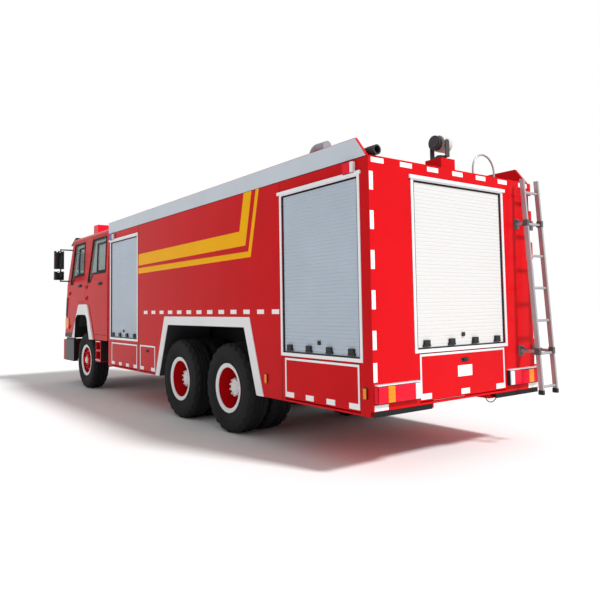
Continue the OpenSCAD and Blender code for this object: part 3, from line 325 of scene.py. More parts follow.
# Finish of each slot's nodes, apart from those named in finish_nodes
SLOT_FINISH = {
    "red_paint": RED,
    "dark_steel": DARK_STEEL,
    "cast_grey": CAST,
    "black_plastic": BLACK,
    "aluminium": ALUMINIUM,
    "shutter": ALUMINIUM,
    "grey_board": RED,
    "white_trim": WHITE,
    "lens": BLACK,
    "glass": GLASS,
    "tyre": TYRE,
    "hose": RUBBER,
    "interior": INTERIOR,
    "bare_steel": STEEL}

# Colours of the nodes that have two: real two-tone paint on the bumper and searchlight; on the shutters'
# slats, painted sunlight on the rear and painted shade, darker and bluer, on the sides
REAR_SLATS_PAINTED_SUNLIT = (0.68, 0.67, 0.66)
SIDE_SLATS_PAINTED_SHADE = (0.49, 0.57, 0.66)
BUMPER_WINGS = (0.016, 0.016, 0.017)
LAMP_RIM = (0.62, 0.60, 0.55)
LAMP_SHELL = (0.06, 0.06, 0.075)
LAMP_RIM_DEPTH = 0.13
REAR_SLAT_DEPTH = 0.05

# Radius of the softened edges on plain solids
EDGE_ROUNDING = {
    "mirrors": 0.03,
    "light_bar": 0.014,
    "side_boards": 0.003,
    "steps": 0.004,
    "roof_deck": 0.005}


def finish_nodes():
    """Gives every node of the model its finish, and some their softened edges."""
    shutters = nodes["shutters"]
    bumper = nodes["bumper"]
    lamp = nodes["searchlight_head"]
    rear_slats = REAR + REAR_SLAT_DEPTH
    bumper_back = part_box("cab_front")[1][0]
    rim_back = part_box("searchlight_head")[0][1] + LAMP_RIM_DEPTH
    finish = {
        # The slats are one aluminium; this split paints sunlight on the rear shutter and shade on the
        # side shutters
        "shutters": colour_split("slats", shutters, 0, rear_slats, REAR_SLATS_PAINTED_SUNLIT, SIDE_SLATS_PAINTED_SHADE),
        "ladder": LADDER,
        "light_bar": RED_LENS,
        "monitor_barrel": GREY,
        "monitor_turret": GREY,
        "bumper": colour_split("bumper_paint", bumper, 0, bumper_back, BUMPER_WINGS, RED_COLOUR),
        "searchlight_head": colour_split("lamp_shell", lamp, 1, rim_back, LAMP_RIM, LAMP_SHELL)}
    slots = {row["node"]: row["material_slot"] for row in frame["record"]["subparts"]}
    for name, obj in nodes.items():
        obj.data.materials.clear()
        obj.data.materials.append(finish.get(name, SLOT_FINISH[slots[name]]))
    for name, width in EDGE_ROUNDING.items():
        edge = nodes[name].modifiers.new("edges", "BEVEL")
        edge.width = width
        edge.segments = 3
        edge.limit_method = "ANGLE"
        edge.angle_limit = math.radians(50)


# Striping and reflective film on the body, with outlines as distance from the rear face and height

FILM = 0.002
BROAD_STRIPE = [
    (5.43, 2.225), (2.135, 2.253), (1.985, 2.878),
    (2.158, 2.878), (2.266, 2.43), (5.43, 2.406)]
THIN_STRIPE = [
    (5.43, 2.095), (2.019, 2.109), (1.828, 2.878),
    (1.892, 2.878), (2.068, 2.177), (5.43, 2.183)]
BOARD_FACE = [(0.03, 2.884), (6.836, 2.884), (6.836, 3.073), (0.172, 3.073)]
ARCH_OUTER = [(1.777, 0.54), (2.061, 1.41), (4.420, 1.41), (4.749, 0.54)]
ARCH_INNER = [(1.918, 0.54), (2.178, 1.298), (4.303, 1.298), (4.608, 0.54)]
DASH_COUNT = 13
DASH_START = 1.45
DASH_PITCH = 0.3015
DASH_LENGTH = 0.14
DASH_LOW, DASH_HIGH = 1.45, 1.50
PANEL_JOINTS = (1.409, 5.43)
PANEL_LOW = 0.54
SEAM = 0.003
TOP_FILM_COUNT = 7
TOP_FILM_START = 1.139
TOP_FILM_PITCH = 0.373
TOP_FILM_HALF = 0.08
TOP_FILM_LOW, TOP_FILM_HIGH = 2.822, 2.868
CORNER_FILM_Y = 1.222
CORNER_FILM_Z = (2.652, 2.294, 1.935, 1.575, 1.215, 0.93)
CORNER_FILM_HALF_WIDTH = 0.023
CORNER_FILM_HALF_HEIGHT = 0.085
LOW_FILM_INNER, LOW_FILM_OUTER = 1.07, 1.24
LOW_FILM_LOW, LOW_FILM_HIGH = 0.592, 0.642
WIRE_MIDDLE = -0.445
WIRE_TOP = 0.60
WIRE_HALF_SPAN = 0.105
WIRE_SAG = 0.10
WIRE_RADIUS = 0.005


def side_stripes(sign, side):
    stripes = Shape()
    for outline in (BROAD_STRIPE, THIN_STRIPE):
        stripes.prism(along_body(outline), on_side(sign), SIDE, SIDE + FILM)
    stripes.done(f"side_stripes_{side}", "chassis", "white_trim", YELLOW)


def board_face(sign, side):
    board = Shape()
    board.prism(along_body(BOARD_FACE), on_side(sign), SIDE, SIDE + FILM)
    board.done(f"board_face_{side}", "chassis", "grey_board", BOARD)


def side_dashes(sign, side):
    film = Shape()
    for k in range(DASH_COUNT):
        x = station(DASH_START) + k * DASH_PITCH
        dash = rectangle(x, DASH_LOW, x + DASH_LENGTH, DASH_HIGH)
        film.prism(dash, on_side(sign), SIDE, SIDE + FILM)
    film.done(f"side_dashes_{side}", "chassis", "white_trim", REFLECTIVE)


def panel_seams(sign, side):
    seams = Shape()
    for distance in PANEL_JOINTS:
        x = station(distance)
        upright = rectangle(x - SEAM, PANEL_LOW, x + SEAM, SIDE_TOP)
        seams.prism(upright, on_side(sign), SIDE, SIDE + FILM / 2)
    along_top = rectangle(station(0.02), SIDE_TOP - 0.004, station(6.84), SIDE_TOP + SEAM)
    seams.prism(along_top, on_side(sign), SIDE, SIDE + FILM / 2)
    seams.done(f"panel_seams_{side}", "chassis", "black_plastic", BLACK_SEAL_AND_SHADE)


def arch_band(sign, side):
    """White face of the band over the rear wheel arch."""
    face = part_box("trims")[1][1]
    band = Shape()
    loop = along_body(ARCH_OUTER) + along_body(ARCH_INNER)[::-1]
    band.prism(loop, on_side(sign), face, face + FILM)
    band.done(f"arch_band_{side}", "chassis", "white_trim", WHITE)


def rear_film():
    """Film along the rear face's top, down its corners and beside the tail flap."""
    film = Shape()
    for k in range(TOP_FILM_COUNT):
        y = TOP_FILM_START - TOP_FILM_PITCH * k
        patch = rectangle(y - TOP_FILM_HALF, TOP_FILM_LOW, y + TOP_FILM_HALF, TOP_FILM_HIGH)
        film.prism(patch, on_rear, 0, FILM)
    for sign in SIGNS:
        y0 = sign * CORNER_FILM_Y - CORNER_FILM_HALF_WIDTH
        y1 = sign * CORNER_FILM_Y + CORNER_FILM_HALF_WIDTH
        for z in CORNER_FILM_Z:
            patch = rectangle(y0, z - CORNER_FILM_HALF_HEIGHT, y1, z + CORNER_FILM_HALF_HEIGHT)
            film.prism(patch, on_rear, 0, FILM)
        y0, y1 = mirrored(sign, LOW_FILM_INNER, LOW_FILM_OUTER)
        film.prism(rectangle(y0, LOW_FILM_LOW, y1, LOW_FILM_HIGH), on_rear, 0, FILM)
    film.done("rear_film", "chassis", "white_trim", REFLECTIVE)


def wire_loop():
    """A wire that hangs in a half ring under the rear apron."""
    steps = 16
    points = []
    for k in range(steps + 1):
        angle = math.pi * k / steps
        y = WIRE_MIDDLE - WIRE_HALF_SPAN * math.cos(angle)
        z = WIRE_TOP - WIRE_SAG * math.sin(angle)
        points.append((REAR + 0.03, y, z))
    wire = Shape()
    wire.tube(points, WIRE_RADIUS)
    wire.done("wire_loop", "chassis", "black_plastic", BLACK_SEAL_AND_SHADE, smooth=True)


# Shutters

SHUTTER_RECESS = 0.012
LATCH_COUNT = 4
LATCH_FIRST, LATCH_STEP = 0.10, 0.2667
SIDE_SHUTTERS = ((0.158, 1.382), (5.493, 6.717))
REAR_SHUTTER_HALF = 0.679
REAR_SHUTTER_SILL = 1.104
GUTTER_OVERHANG = 0.062
GUTTER_LOW, GUTTER_HIGH = 0.012, 0.047
GUTTER_DEPTH = 0.022


def shutter_face(latches, seals, place, u0, u1, sill, top, face):
    """Latches along the lower edge and the seals round one shutter."""
    for k in range(LATCH_COUNT):
        u = u0 + (u1 - u0) * (LATCH_FIRST + LATCH_STEP * k)
        foot = rectangle(u - 0.05, sill + 0.02, u + 0.05, sill + 0.04)
        latches.prism(foot, place, face, face + 0.020)
        catch = rectangle(u - 0.038, sill + 0.04, u + 0.038, sill + 0.085)
        latches.prism(catch, place, face, face + 0.026)
    middle = (u0 + u1) / 2
    lock = rectangle(middle - 0.02, sill + 0.1, middle + 0.02, sill + 0.14)
    latches.prism(lock, place, face, face + 0.016)
    lip = rectangle(u0 + 0.03, sill + 0.003, u1 - 0.03, sill + 0.014)
    latches.prism(lip, place, face, face + 0.012)
    outside = rectangle(u0, sill, u1, top)
    inside = rectangle(u0 + 0.02, sill + 0.004, u1 - 0.02, top - 0.016)
    seals.band(outside, inside, place, face - 0.01, face + 0.006)


def shutter_gutter(gutters, place, u0, u1, top, face):
    """A rain gutter over one shutter."""
    outline = rectangle(u0 - GUTTER_OVERHANG, top + GUTTER_LOW, u1 + GUTTER_OVERHANG, top + GUTTER_HIGH)
    gutters.prism(outline, place, face, face + GUTTER_DEPTH)


def shutter_fittings():
    """Latches, seals and rain gutters of the four side shutters and the rear one."""
    latches = Shape()
    seals = Shape()
    gutters = Shape()
    low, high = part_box("shutters")
    top = high[2]
    for sign in SIGNS:
        place = on_side(sign)
        for start, end in SIDE_SHUTTERS:
            u0, u1 = station(start), station(end)
            shutter_face(latches, seals, place, u0, u1, low[2], top, SIDE - SHUTTER_RECESS)
            shutter_gutter(gutters, place, u0, u1, top, SIDE)
    u0, u1 = -REAR_SHUTTER_HALF, REAR_SHUTTER_HALF
    shutter_face(latches, seals, on_rear, u0, u1, REAR_SHUTTER_SILL, top, -SHUTTER_RECESS)
    shutter_gutter(gutters, on_rear, u0, u1, top, 0.0)
    gutters.done("shutter_gutters", "chassis", "aluminium", ALUMINIUM, bevel=0.004)
    latches.done("shutter_latches", "chassis", "black_plastic", BLACK, bevel=0.003)
    seals.done("shutter_seals", "chassis", "black_plastic", BLACK_SEAL_AND_SHADE)


# Flaps

FLAP_EDGE = 0.022
FLAP_RIM = 0.003
PATCH_LENGTH = 0.13
PATCH_TOP = 0.075


def flap_frame(node, place, u0, u1, z0, z1, face):
    """Aluminium strips along a flap's ends and top."""
    strip = Shape()
    for u in (u0, u1 - FLAP_EDGE):
        strip.prism(rectangle(u, z0 + FLAP_EDGE, u + FLAP_EDGE, z1), place, face, face + FLAP_RIM)
    along_top = rectangle(u0 + FLAP_EDGE, z1 - FLAP_EDGE, u1 - FLAP_EDGE, z1)
    strip.prism(along_top, place, face, face + FLAP_RIM)
    strip.done(f"{node}_frame", node, "aluminium", ALUMINIUM)


def flap_film(node, place, u0, u1, z0, face, patches):
    """Reflective patches, evenly spaced along a flap's lower edge."""
    film = Shape()
    for k in range(patches):
        u = u0 + FLAP_EDGE + (u1 - u0 - 2 * FLAP_EDGE - PATCH_LENGTH) * k / (patches - 1)
        patch = rectangle(u, z0 + FLAP_EDGE, u + PATCH_LENGTH, z0 + PATCH_TOP)
        film.prism(patch, place, face, face + FILM)
    film.done(f"{node}_film", node, "white_trim", REFLECTIVE)


def flap_handle(node, place, middle, z1, face):
    """A handle on its plate, near a flap's top edge."""
    plate = 0.006
    grip = Shape()
    base = rectangle(middle - 0.05, z1 - 0.105, middle + 0.05, z1 - 0.065)
    grip.prism(base, place, face, face + plate)
    bar = rectangle(middle - 0.04, z1 - 0.095, middle + 0.03, z1 - 0.075)
    grip.prism(bar, place, face + plate, face + 0.022)
    grip.done(f"{node}_handle", node, "black_plastic", BLACK, bevel=0.003)


def flap_fittings(node, place, u_axis, face, patches, handle):
    """Frame, film patches and handle on a flap; face is the depth of its outer face."""
    low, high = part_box(node)
    u0, u1 = low[u_axis], high[u_axis]
    flap_frame(node, place, u0, u1, low[2], high[2], face)
    flap_film(node, place, u0, u1, low[2], face, patches)
    if handle:
        flap_handle(node, place, (u0 + u1) / 2, high[2], face)


def number_plate():
    """The blank plate on the tail flap."""
    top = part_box("tail_flap")[1][2]
    plate = Shape()
    plate.prism(rectangle(-0.11, top - 0.25, 0.11, top - 0.14), on_rear, 0, 0.004)
    plate.done("blank_plate", "tail_flap", "white_trim", WHITE, bevel=0.002)


# Dark sheets under the body; those under the rear apron are painted shade

def painted_shade_under_apron():
    """Black sheets over the lockers' ends below the rear apron, painted shade for the shadowed underside
    there.
    """
    sheet = Shape()
    for sign in SIGNS:
        y0, y1 = mirrored(sign, 0.49, SIDE - 0.004)
        sheet.box((REAR + 0.003, y0, 0.5365), (REAR + 0.012, y1, 0.5845))
    sheet.done("apron_painted_shade_sheets", "chassis", "black_plastic", BLACK_SEAL_AND_SHADE)


def splash_sheets():
    """Sheets over the frame rails, between the two rear wheel arches."""
    low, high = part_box("arch_liners")
    sheet = Shape()
    for sign in SIGNS:
        y0, y1 = mirrored(sign, 0.480, 0.484)
        sheet.box((low[0] + 0.3, y0, 1.045), (high[0] - 0.12, y1, high[2] - 0.02))
    sheet.done("splash_sheets", "chassis", "black_plastic", BLACK_SEAL_AND_SHADE)


# Lamps

# Outer and inner y of each rear lens, and its kind
TAIL_LENSES = (
    (1.228, 1.115, RED_LENS),
    (1.110, 1.025, AMBER_LENS),
    (1.020, 0.765, RED_LENS),
    (0.760, 0.695, CLEAR_LENS))
TAIL_LOW = 0.661
TAIL_HEIGHT = 0.145
TAIL_HIGH = TAIL_LOW + TAIL_HEIGHT
TAIL_DEPTH = 0.036
LENS_DEPTH = 0.012
RIB_DEPTH = 0.015
SIDE_MARKERS = (0.075, 1.69)
WARNING_LAMPS = ((0.175, RED_LENS), (6.54, BLUE_LENS))
HEADLAMP_CENTRES = (0.76, 0.90)


def tail_lamps(lens, rims, sign):
    """The lenses of one rear lamp group, with their ribs, red outer end and rim."""
    face = TAIL_DEPTH + LENS_DEPTH
    for outer, inner, kind in TAIL_LENSES:
        y0, y1 = mirrored(sign, inner, outer)
        lens[kind].prism(rectangle(y0, TAIL_LOW, y1, TAIL_HIGH), on_rear, TAIL_DEPTH, face)
        for k in range(1, 4):
            z = TAIL_LOW + TAIL_HEIGHT * k / 4
            rib = rectangle(y0 + 0.006, z - 0.004, y1 - 0.006, z + 0.004)
            lens[kind].prism(rib, on_rear, face, TAIL_DEPTH + RIB_DEPTH)
    y0, y1 = mirrored(sign, 1.2405, 1.2425)
    lens[RED_LENS].prism(rectangle(y0, TAIL_LOW, y1, TAIL_HIGH), on_rear, 0.002, face)
    y0, y1 = mirrored(sign, 0.688, 1.234)
    rims.prism(rectangle(y0, 0.812, y1, 0.824), on_rear, 0.0, TAIL_DEPTH + 0.008)


def side_lamps(lens, sign):
    """Amber markers and the warning lamps under the roof's edge on one side."""
    place = on_side(sign)
    for distance in SIDE_MARKERS:
        x = station(distance)
        marker = rectangle(x + 0.003, 0.693, x + 0.042, 0.787)
        lens[AMBER_LENS].prism(marker, place, SIDE + 0.012, SIDE + 0.019)
    z0, z1 = SIDE_TOP - 0.126, SIDE_TOP - 0.026
    for distance, kind in WARNING_LAMPS:
        x = station(distance)
        lens[kind].prism(rectangle(x + 0.043, z0, x + 0.146, z1), place, SIDE + 0.028, SIDE + 0.038)
        clear_end = rectangle(x - 0.003, z0, x + 0.040, z1)
        lens[CLEAR_LENS].prism(clear_end, place, SIDE + 0.004, SIDE + 0.038)


def headlamps(lens, rims, sign):
    """The clear cover of one pair of headlamps and the two rims in it."""
    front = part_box("bumper")[1][0]
    y0, y1 = mirrored(sign, 0.67, 1.05)
    lens[CLEAR_LENS].box((front - 0.012, y0, 0.65), (front - 0.004, y1, 0.79))
    section = [(0.045, 0.0), (0.058, 0.0), (0.058, 0.003), (0.045, 0.003)]
    for y in HEADLAMP_CENTRES:
        centre = (front - 0.004, sign * y, 0.72)
        rims.lathe(section, centre, (1, 0, 0), steps=32, close=True)


def lamp_lenses():
    """All fixed lamps, gathered as one piece for each kind of lens."""
    lens = {kind: Shape() for kind in (RED_LENS, AMBER_LENS, CLEAR_LENS, BLUE_LENS)}
    rims = Shape()
    for sign in SIGNS:
        tail_lamps(lens, rims, sign)
        side_lamps(lens, sign)
        headlamps(lens, rims, sign)
    for kind, shape in lens.items():
        shape.done(kind.name + "es", "chassis", "lens", kind, bevel=0.002)
    rims.done("lamp_rims", "chassis", "aluminium", ALUMINIUM)


# Wheels, with profiles as radius and place along the axle

TYRE_WIDTH = 0.30
TYRE_RIM = 0.2865
TREAD_DEPTH = 0.014
TREAD_SKIN = 0.0005
LUG_DEPTH = 0.016
GROOVES = (-0.05, 0.0, 0.05)
CROWN_EDGE = 0.095
RIM_RING_REACH = 0.124
RIM_RING = [
    (0.250, -0.004), (0.268, 0.004), (0.297, 0.007), (0.303, 0.011),
    (0.299, 0.016), (0.264, 0.011), (0.250, 0.003)]
HUB_CAP = [(0.0, 1.192), (0.040, 1.190), (0.058, 1.182), (0.066, 1.168)]
HUB_FLANGE = [
    (0.0, 1.124), (0.05, 1.122), (0.062, 1.112),
    (0.094, 1.110), (0.098, 1.094), (0.098, 1.080)]
FRONT_WHEEL_Y = 1.04
FRONT_DISC_Y = 1.132
FRONT_BOLT_CIRCLE = 0.145
TWIN_WHEELS_Y = (1.075, 0.73)
TWIN_DISC_Y = 0.914
TWIN_BOLT_CIRCLE = 0.19
FLANGE_Y = 1.085
FLANGE_BOLT_CIRCLE = 0.098
BOLT_COUNT = 10


def tyre_profile(radius, rim, half):
    """Section of a tyre from inner to outer bead, and which of its points the lugs cut."""
    wall = [
        (rim, -half + 0.03), (rim + 0.022, -half + 0.02),
        (rim + 0.032, -half + 0.021), (rim + 0.05, -half + 0.012),
        (rim + 0.06, -half + 0.013), (rim + 0.11, -half),
        (radius - 0.08, -half), (radius - 0.045, -half + 0.004)]
    shoulder = [(radius - 0.022, -half + 0.01), (radius - 0.004, -half + 0.035)]
    top = radius - TREAD_SKIN
    floor = radius - TREAD_DEPTH
    crown = [(top, -CROWN_EDGE)]
    for a in GROOVES:
        crown += [(top, a - 0.017), (floor, a - 0.012), (floor, a + 0.012), (top, a + 0.017)]
    crown.append((top, CROWN_EDGE))
    profile = wall + shoulder + crown
    profile += [(r, -a) for r, a in reversed(wall + shoulder)]
    first = len(wall)
    last = len(profile) - 1 - len(wall)
    return profile, {first, first + 1, last - 1, last}


def tyre_mesh(shape, centre, radius, rim, width):
    """A road tyre with grooves and lugged shoulders inside the CAD tyre's outline."""
    steps = 96
    profile, lugged = tyre_profile(radius, rim, width / 2)
    axis = Vector((0, 1, 0))
    rings = []
    for step in range(steps):
        angle = math.tau * (step + (0.25 if step % 2 else 0)) / steps
        out = Vector((math.cos(angle), 0, math.sin(angle)))
        cut = (step // 2) % 2
        ring = []
        for k, (r, a) in enumerate(profile):
            r = r - LUG_DEPTH if k in lugged and cut else r
            ring.append(shape.bm.verts.new(centre + out * r + axis * a))
        rings.append(ring)
    count = len(profile)
    for step in range(steps):
        here, there = rings[step], rings[(step + 1) % steps]
        for k in range(count):
            n = (k + 1) % count
            shape.bm.faces.new((here[k], here[n], there[n], there[k]))


def bolt_ring(shape, centre, sign, radius, size, height):
    """Hexagon nuts with studs on a circle round an axle along y, on the side that sign gives."""
    out = Vector((0, sign, 0))
    for k in range(BOLT_COUNT):
        angle = math.tau * (k + 0.5) / BOLT_COUNT
        a = Vector(centre) + Vector((math.cos(angle), 0, math.sin(angle))) * radius
        shape.rod(a, a + out * height, size, sides=6)
        shape.rod(a + out * height, a + out * height * 1.5, size * 0.55, sides=10)


def wheel_set(body, tyre_node, sign, centres, disc_y, bolt_circle):
    """Tyres, white rim ring and wheel nuts of one wheel body; returns its axle's x and z."""
    low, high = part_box(tyre_node)
    x = (low[0] + high[0]) / 2
    z = (low[2] + high[2]) / 2
    radius = (high[2] - low[2]) / 2
    rubber = Shape()
    for y in centres:
        tyre_mesh(rubber, Vector((x, y, z)), radius, TYRE_RIM, TYRE_WIDTH)
    piece = rubber.done(f"{body}_rubber", body, "tyre", TYRE)
    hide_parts(tyre_node)
    face = max(abs(y) for y in centres) + RIM_RING_REACH
    ring = Shape()
    ring.lathe(RIM_RING, (x, sign * face, z), (0, sign, 0), steps=72, close=True)
    ring.done(f"{body}_rim_ring", body, "white_trim", WHITE, smooth=True)
    nuts = Shape()
    bolt_ring(nuts, (x, sign * disc_y, z), sign, bolt_circle, 0.019, 0.03)
    nuts.done(f"{body}_nuts", body, "red_paint", RED)
    return x, z


def front_wheel(sign, side):
    """A single front wheel with its hub cap."""
    body = f"front_wheel_{side}"
    x, z = wheel_set(body, f"front_tyre_{side}", sign, [sign * FRONT_WHEEL_Y],
                     FRONT_DISC_Y, FRONT_BOLT_CIRCLE)
    cap = Shape()
    cap.lathe(HUB_CAP, (x, 0, z), (0, sign, 0), steps=40)
    cap.done(f"{body}_hub", body, "white_trim", WHITE, smooth=True)


def twin_wheels(sign, side, axle):
    """Twin wheels on one end of a rear axle, with the drive flange and its bolts."""
    body = f"{axle}_wheels_{side}"
    centres = [sign * y for y in TWIN_WHEELS_Y]
    x, z = wheel_set(body, f"{axle}_tyres_{side}", sign, centres, TWIN_DISC_Y, TWIN_BOLT_CIRCLE)
    flange = Shape()
    flange.lathe(HUB_FLANGE, (x, 0, z), (0, sign, 0), steps=40)
    bolt_ring(flange, (x, sign * FLANGE_Y, z), sign, FLANGE_BOLT_CIRCLE, 0.017, 0.028)
    flange.done(f"{body}_hub", body, "bare_steel", WHITE, smooth=True)


# Cab, with outlines as distance from the body's rear face and height

BELT = 2.06
LEAN = 0.03 / 0.9
WINDOWS = {
    "front": [(8.39, 2.225), (8.39, 2.87), (9.030, 2.87), (9.26, 2.07), (9.12, 2.07), (8.98, 2.225)],
    "rear": [(7.12, 2.225), (7.12, 2.87), (7.876, 2.87), (8.12, 2.07), (7.98, 2.07), (7.84, 2.225)]}
SLIDERS = {"front": (8.42, 2.255, 8.76, 2.775), "rear": (7.15, 2.255, 7.63, 2.775)}
HANDLES = {"front": 8.62, "rear": 7.39}
MIRROR_PANES = ((2.412, 2.768), (2.182, 2.338))
CAB_LOW = 0.967
CORNER_GUARD = [(9.10, CAB_LOW), (9.655, CAB_LOW), (9.645, 1.05), (9.05, 1.05)]
FRONT_LOW, FRONT_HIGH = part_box("cab_front")
FRONT_RAKE = 0.15
ARCH_Z = 1.246
ARCH_CORNER = 0.189
STEP_TOPS = (0.60, 0.945)


def skin(sign):
    """Places an outline of (x, z) on the cab's side, at depth w outside its skin."""
    return lambda x, z, w: (x, sign * (CAB_SIDE - max(0.0, z - BELT) * LEAN + w), z)


def on_front(y, z, w):
    """Places an outline of (y, z) on the cab's raked front, at depth w before it."""
    share = (z - FRONT_LOW[2]) / (BELT - FRONT_LOW[2])
    return (FRONT_HIGH[0] - FRONT_RAKE * share + w, y, z)


def door_fittings(sign, side, row):
    """Seals of one door's window and its slider, and the door's handle."""
    door = f"{row}_door_{side}"
    outline = along_body(WINDOWS[row])
    seal = Shape()
    seal.band(offset(outline, 0.020), offset(outline, -0.014), skin(sign), -0.004, 0.006)
    u0, v0, u1, v1 = SLIDERS[row]
    slider = rectangle(station(u0), v0, station(u1), v1)
    seal.band(offset(slider, 0.012), offset(slider, -0.012), skin(sign), -0.022, -0.006)
    seal.done(f"{door}_seal", door, "black_plastic", BLACK_SEAL_AND_SHADE)
    x = station(HANDLES[row])
    grip = Shape()
    grip.prism(rectangle(x - 0.085, 1.985, x + 0.085, 2.05), skin(sign), 0, 0.008)
    grip.prism(rectangle(x - 0.07, 2.0, x + 0.06, 2.025), skin(sign), 0.008, 0.032)
    grip.done(f"{door}_handle", door, "black_plastic", BLACK, bevel=0.004)


def mirror_glass(sign, side):
    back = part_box("mirrors")[0][0]
    glass = Shape()
    y0, y1 = mirrored(sign, CAB_SIDE + 0.122, CAB_SIDE + 0.288)
    for z0, z1 in MIRROR_PANES:
        glass.box((back - 0.004, y0, z0), (back, y1, z1))
    glass.done(f"mirror_glass_{side}", "cab", "aluminium", MIRROR, bevel=0.001)


def corner_guard(sign, side):
    """Black guard on the cab's lower front corner."""
    guard = Shape()
    guard.prism(along_body(CORNER_GUARD), on_side(sign), CAB_SIDE, CAB_SIDE + 0.004)
    guard.done(f"corner_guard_{side}", "cab", "black_plastic", BLACK)


def arch_lip(sign, side):
    """Black lining of the front wheel arch's edge and of its front leg."""
    low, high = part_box("front_tyre_left")
    axle = (low[0] + high[0]) / 2
    inset = 0.004
    depth = CAB_SIDE - 0.058
    edge = [(-0.356, CAB_LOW)]
    edge += arc(-0.053, ARCH_Z, ARCH_CORNER, 180, 90)
    edge += arc(0.359, ARCH_Z, ARCH_CORNER, 90, 0)
    edge += [(0.581, CAB_LOW)]
    edge = [(axle + x, z) for x, z in edge]
    inner = []
    for x, z in edge:
        inner.append((x + (inset if x < axle else -inset), z - (inset if z > ARCH_Z else 0)))
    lip = Shape()
    lip.prism(edge + inner[::-1], on_side(sign), depth, CAB_SIDE + 0.026)
    leg = [(axle + 0.549, 1.19), (axle + 0.581, CAB_LOW)]
    lip.prism(leg + [(x - inset, z) for x, z in leg[::-1]], on_side(sign), 0.86, depth)
    lip.done(f"arch_lip_{side}", "cab", "black_plastic", BLACK_SEAL_AND_SHADE)


def step_trim(sign, side):
    """Edges of the two steps behind the front wheel, and the sheet behind them."""
    low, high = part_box("steps")
    tread = Shape()
    for z in STEP_TOPS:
        edge = rectangle(low[0] + 0.01, z - 0.012, high[0] - 0.01, z)
        tread.prism(edge, on_side(sign), high[1], high[1] + 0.012)
    tread.done(f"step_edges_{side}", "chassis", "aluminium", ALUMINIUM, bevel=0.002)
    sheet = Shape()
    y0, y1 = mirrored(sign, 0.78, high[1] - 0.004)
    sheet.box((low[0] - 0.006, y0, low[2] + 0.01), (low[0], y1, high[2] - 0.01))
    sheet.done(f"step_back_{side}", "chassis", "black_plastic", BLACK, bevel=0.002)


def bumper_skirt(sign, side):
    """Black skirt over the bumper's wing."""
    skirt = Shape()
    y0, y1 = mirrored(sign, CAB_SIDE - 0.05, CAB_SIDE - 0.004)
    skirt.box((station(9.02), y0, 0.908), (station(9.56), y1, 0.955))
    skirt.done(f"bumper_skirt_{side}", "chassis", "black_plastic", BLACK, bevel=0.003)


def corner_trim(sign, side):
    """Black strip and turn lamp on the cab's side, beside its front corner."""
    nose = [(on_front(0, z, -0.012)[0], z) for z in (1.40, 1.80)]
    strip = Shape()
    strip.prism([(x - 0.09, z) for x, z in nose] + nose[::-1], skin(sign), 0, 0.010)
    strip.done(f"corner_strip_{side}", "cab", "black_plastic", BLACK, bevel=0.003)
    turn = Shape()
    turn.prism(rectangle(station(9.375), 1.14, station(9.60), 1.36), skin(sign), 0, 0.014)
    turn.done(f"turn_lamp_{side}", "cab", "lens", AMBER_LENS, bevel=0.005)


GRILLE_OUTSIDE = rectangle(-0.72, 1.16, 0.72, 1.62)
GRILLE_INSIDE = rectangle(-0.66, 1.20, 0.66, 1.58)
MESH_BACK = rectangle(-0.69, 1.18, 0.69, 1.60)
WIPER_FEET = (-0.75, 0.05)


def grille():
    """Frame and bars of the grille, and the mesh behind them."""
    bars = Shape()
    bars.band(GRILLE_OUTSIDE, GRILLE_INSIDE, on_front, -0.002, 0.012)
    for k in range(4):
        z = 1.225 + 0.1 * k
        bars.prism(rectangle(-0.66, z - 0.012, 0.66, z + 0.012), on_front, -0.002, 0.016)
    bars.done("grille_bars", "cab", "black_plastic", BLACK, bevel=0.003)
    mesh = Shape()
    for k in range(24):
        z = 1.19 + 0.0165 * k
        mesh.prism(rectangle(-0.68, z, 0.68, z + 0.012), on_front, -0.075, -0.062)
    mesh.prism(MESH_BACK, on_front, -0.080, -0.075)
    mesh.done("grille_mesh", "cab", "black_plastic", BLACK_SEAL_AND_SHADE)


def wipers():
    """Two wipers on the windscreen, each on its pivot."""
    raised = Vector((0.03, 0, 0))
    half_pivot = Vector((0.02, 0, 0))
    arms = Shape()
    for y in WIPER_FEET:
        foot = Vector(on_front(y, BELT + 0.02, 0.015))
        tip = Vector(on_front(y + 0.62, BELT + 0.25, -0.045))
        arms.tube([foot, foot.lerp(tip, 0.5) + raised, tip + raised], 0.009)
        arms.rod(foot - half_pivot, foot + half_pivot, 0.022)
    arms.done("wipers", "cab", "black_plastic", BLACK_SEAL_AND_SHADE, smooth=True)


def corner_lamps():
    lamps = Shape()
    for sign in SIGNS:
        y0, y1 = mirrored(sign, 0.98, 1.16)
        lamps.prism(rectangle(y0, 1.32, y1, 1.40), on_front, -0.002, 0.014)
    lamps.done("corner_lamps", "cab", "lens", AMBER_LENS, bevel=0.004)


def light_bar():
    """Black base, middle box and dividers of the roof light bar."""
    low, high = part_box("light_bar")
    base = low[2] + 0.11
    back, front = low[0] - 0.003, high[0] + 0.003
    dark = Shape()
    dark.box((low[0] - 0.004, low[1] + 0.02, base - 0.002),
             (high[0] + 0.004, high[1] - 0.02, base + 0.035))
    for sign in SIGNS:
        y0, y1 = mirrored(sign, 0.20, 0.215)
        dark.box((back, y0, base), (front, y1, high[2] + 0.003))
    dark.box((back, -0.2, base), (front, 0.2, high[2] + 0.002))
    dark.done("light_bar_base", "cab", "black_plastic", BLACK, bevel=0.004)


# Roof, with profiles as radius and height or place along the hose

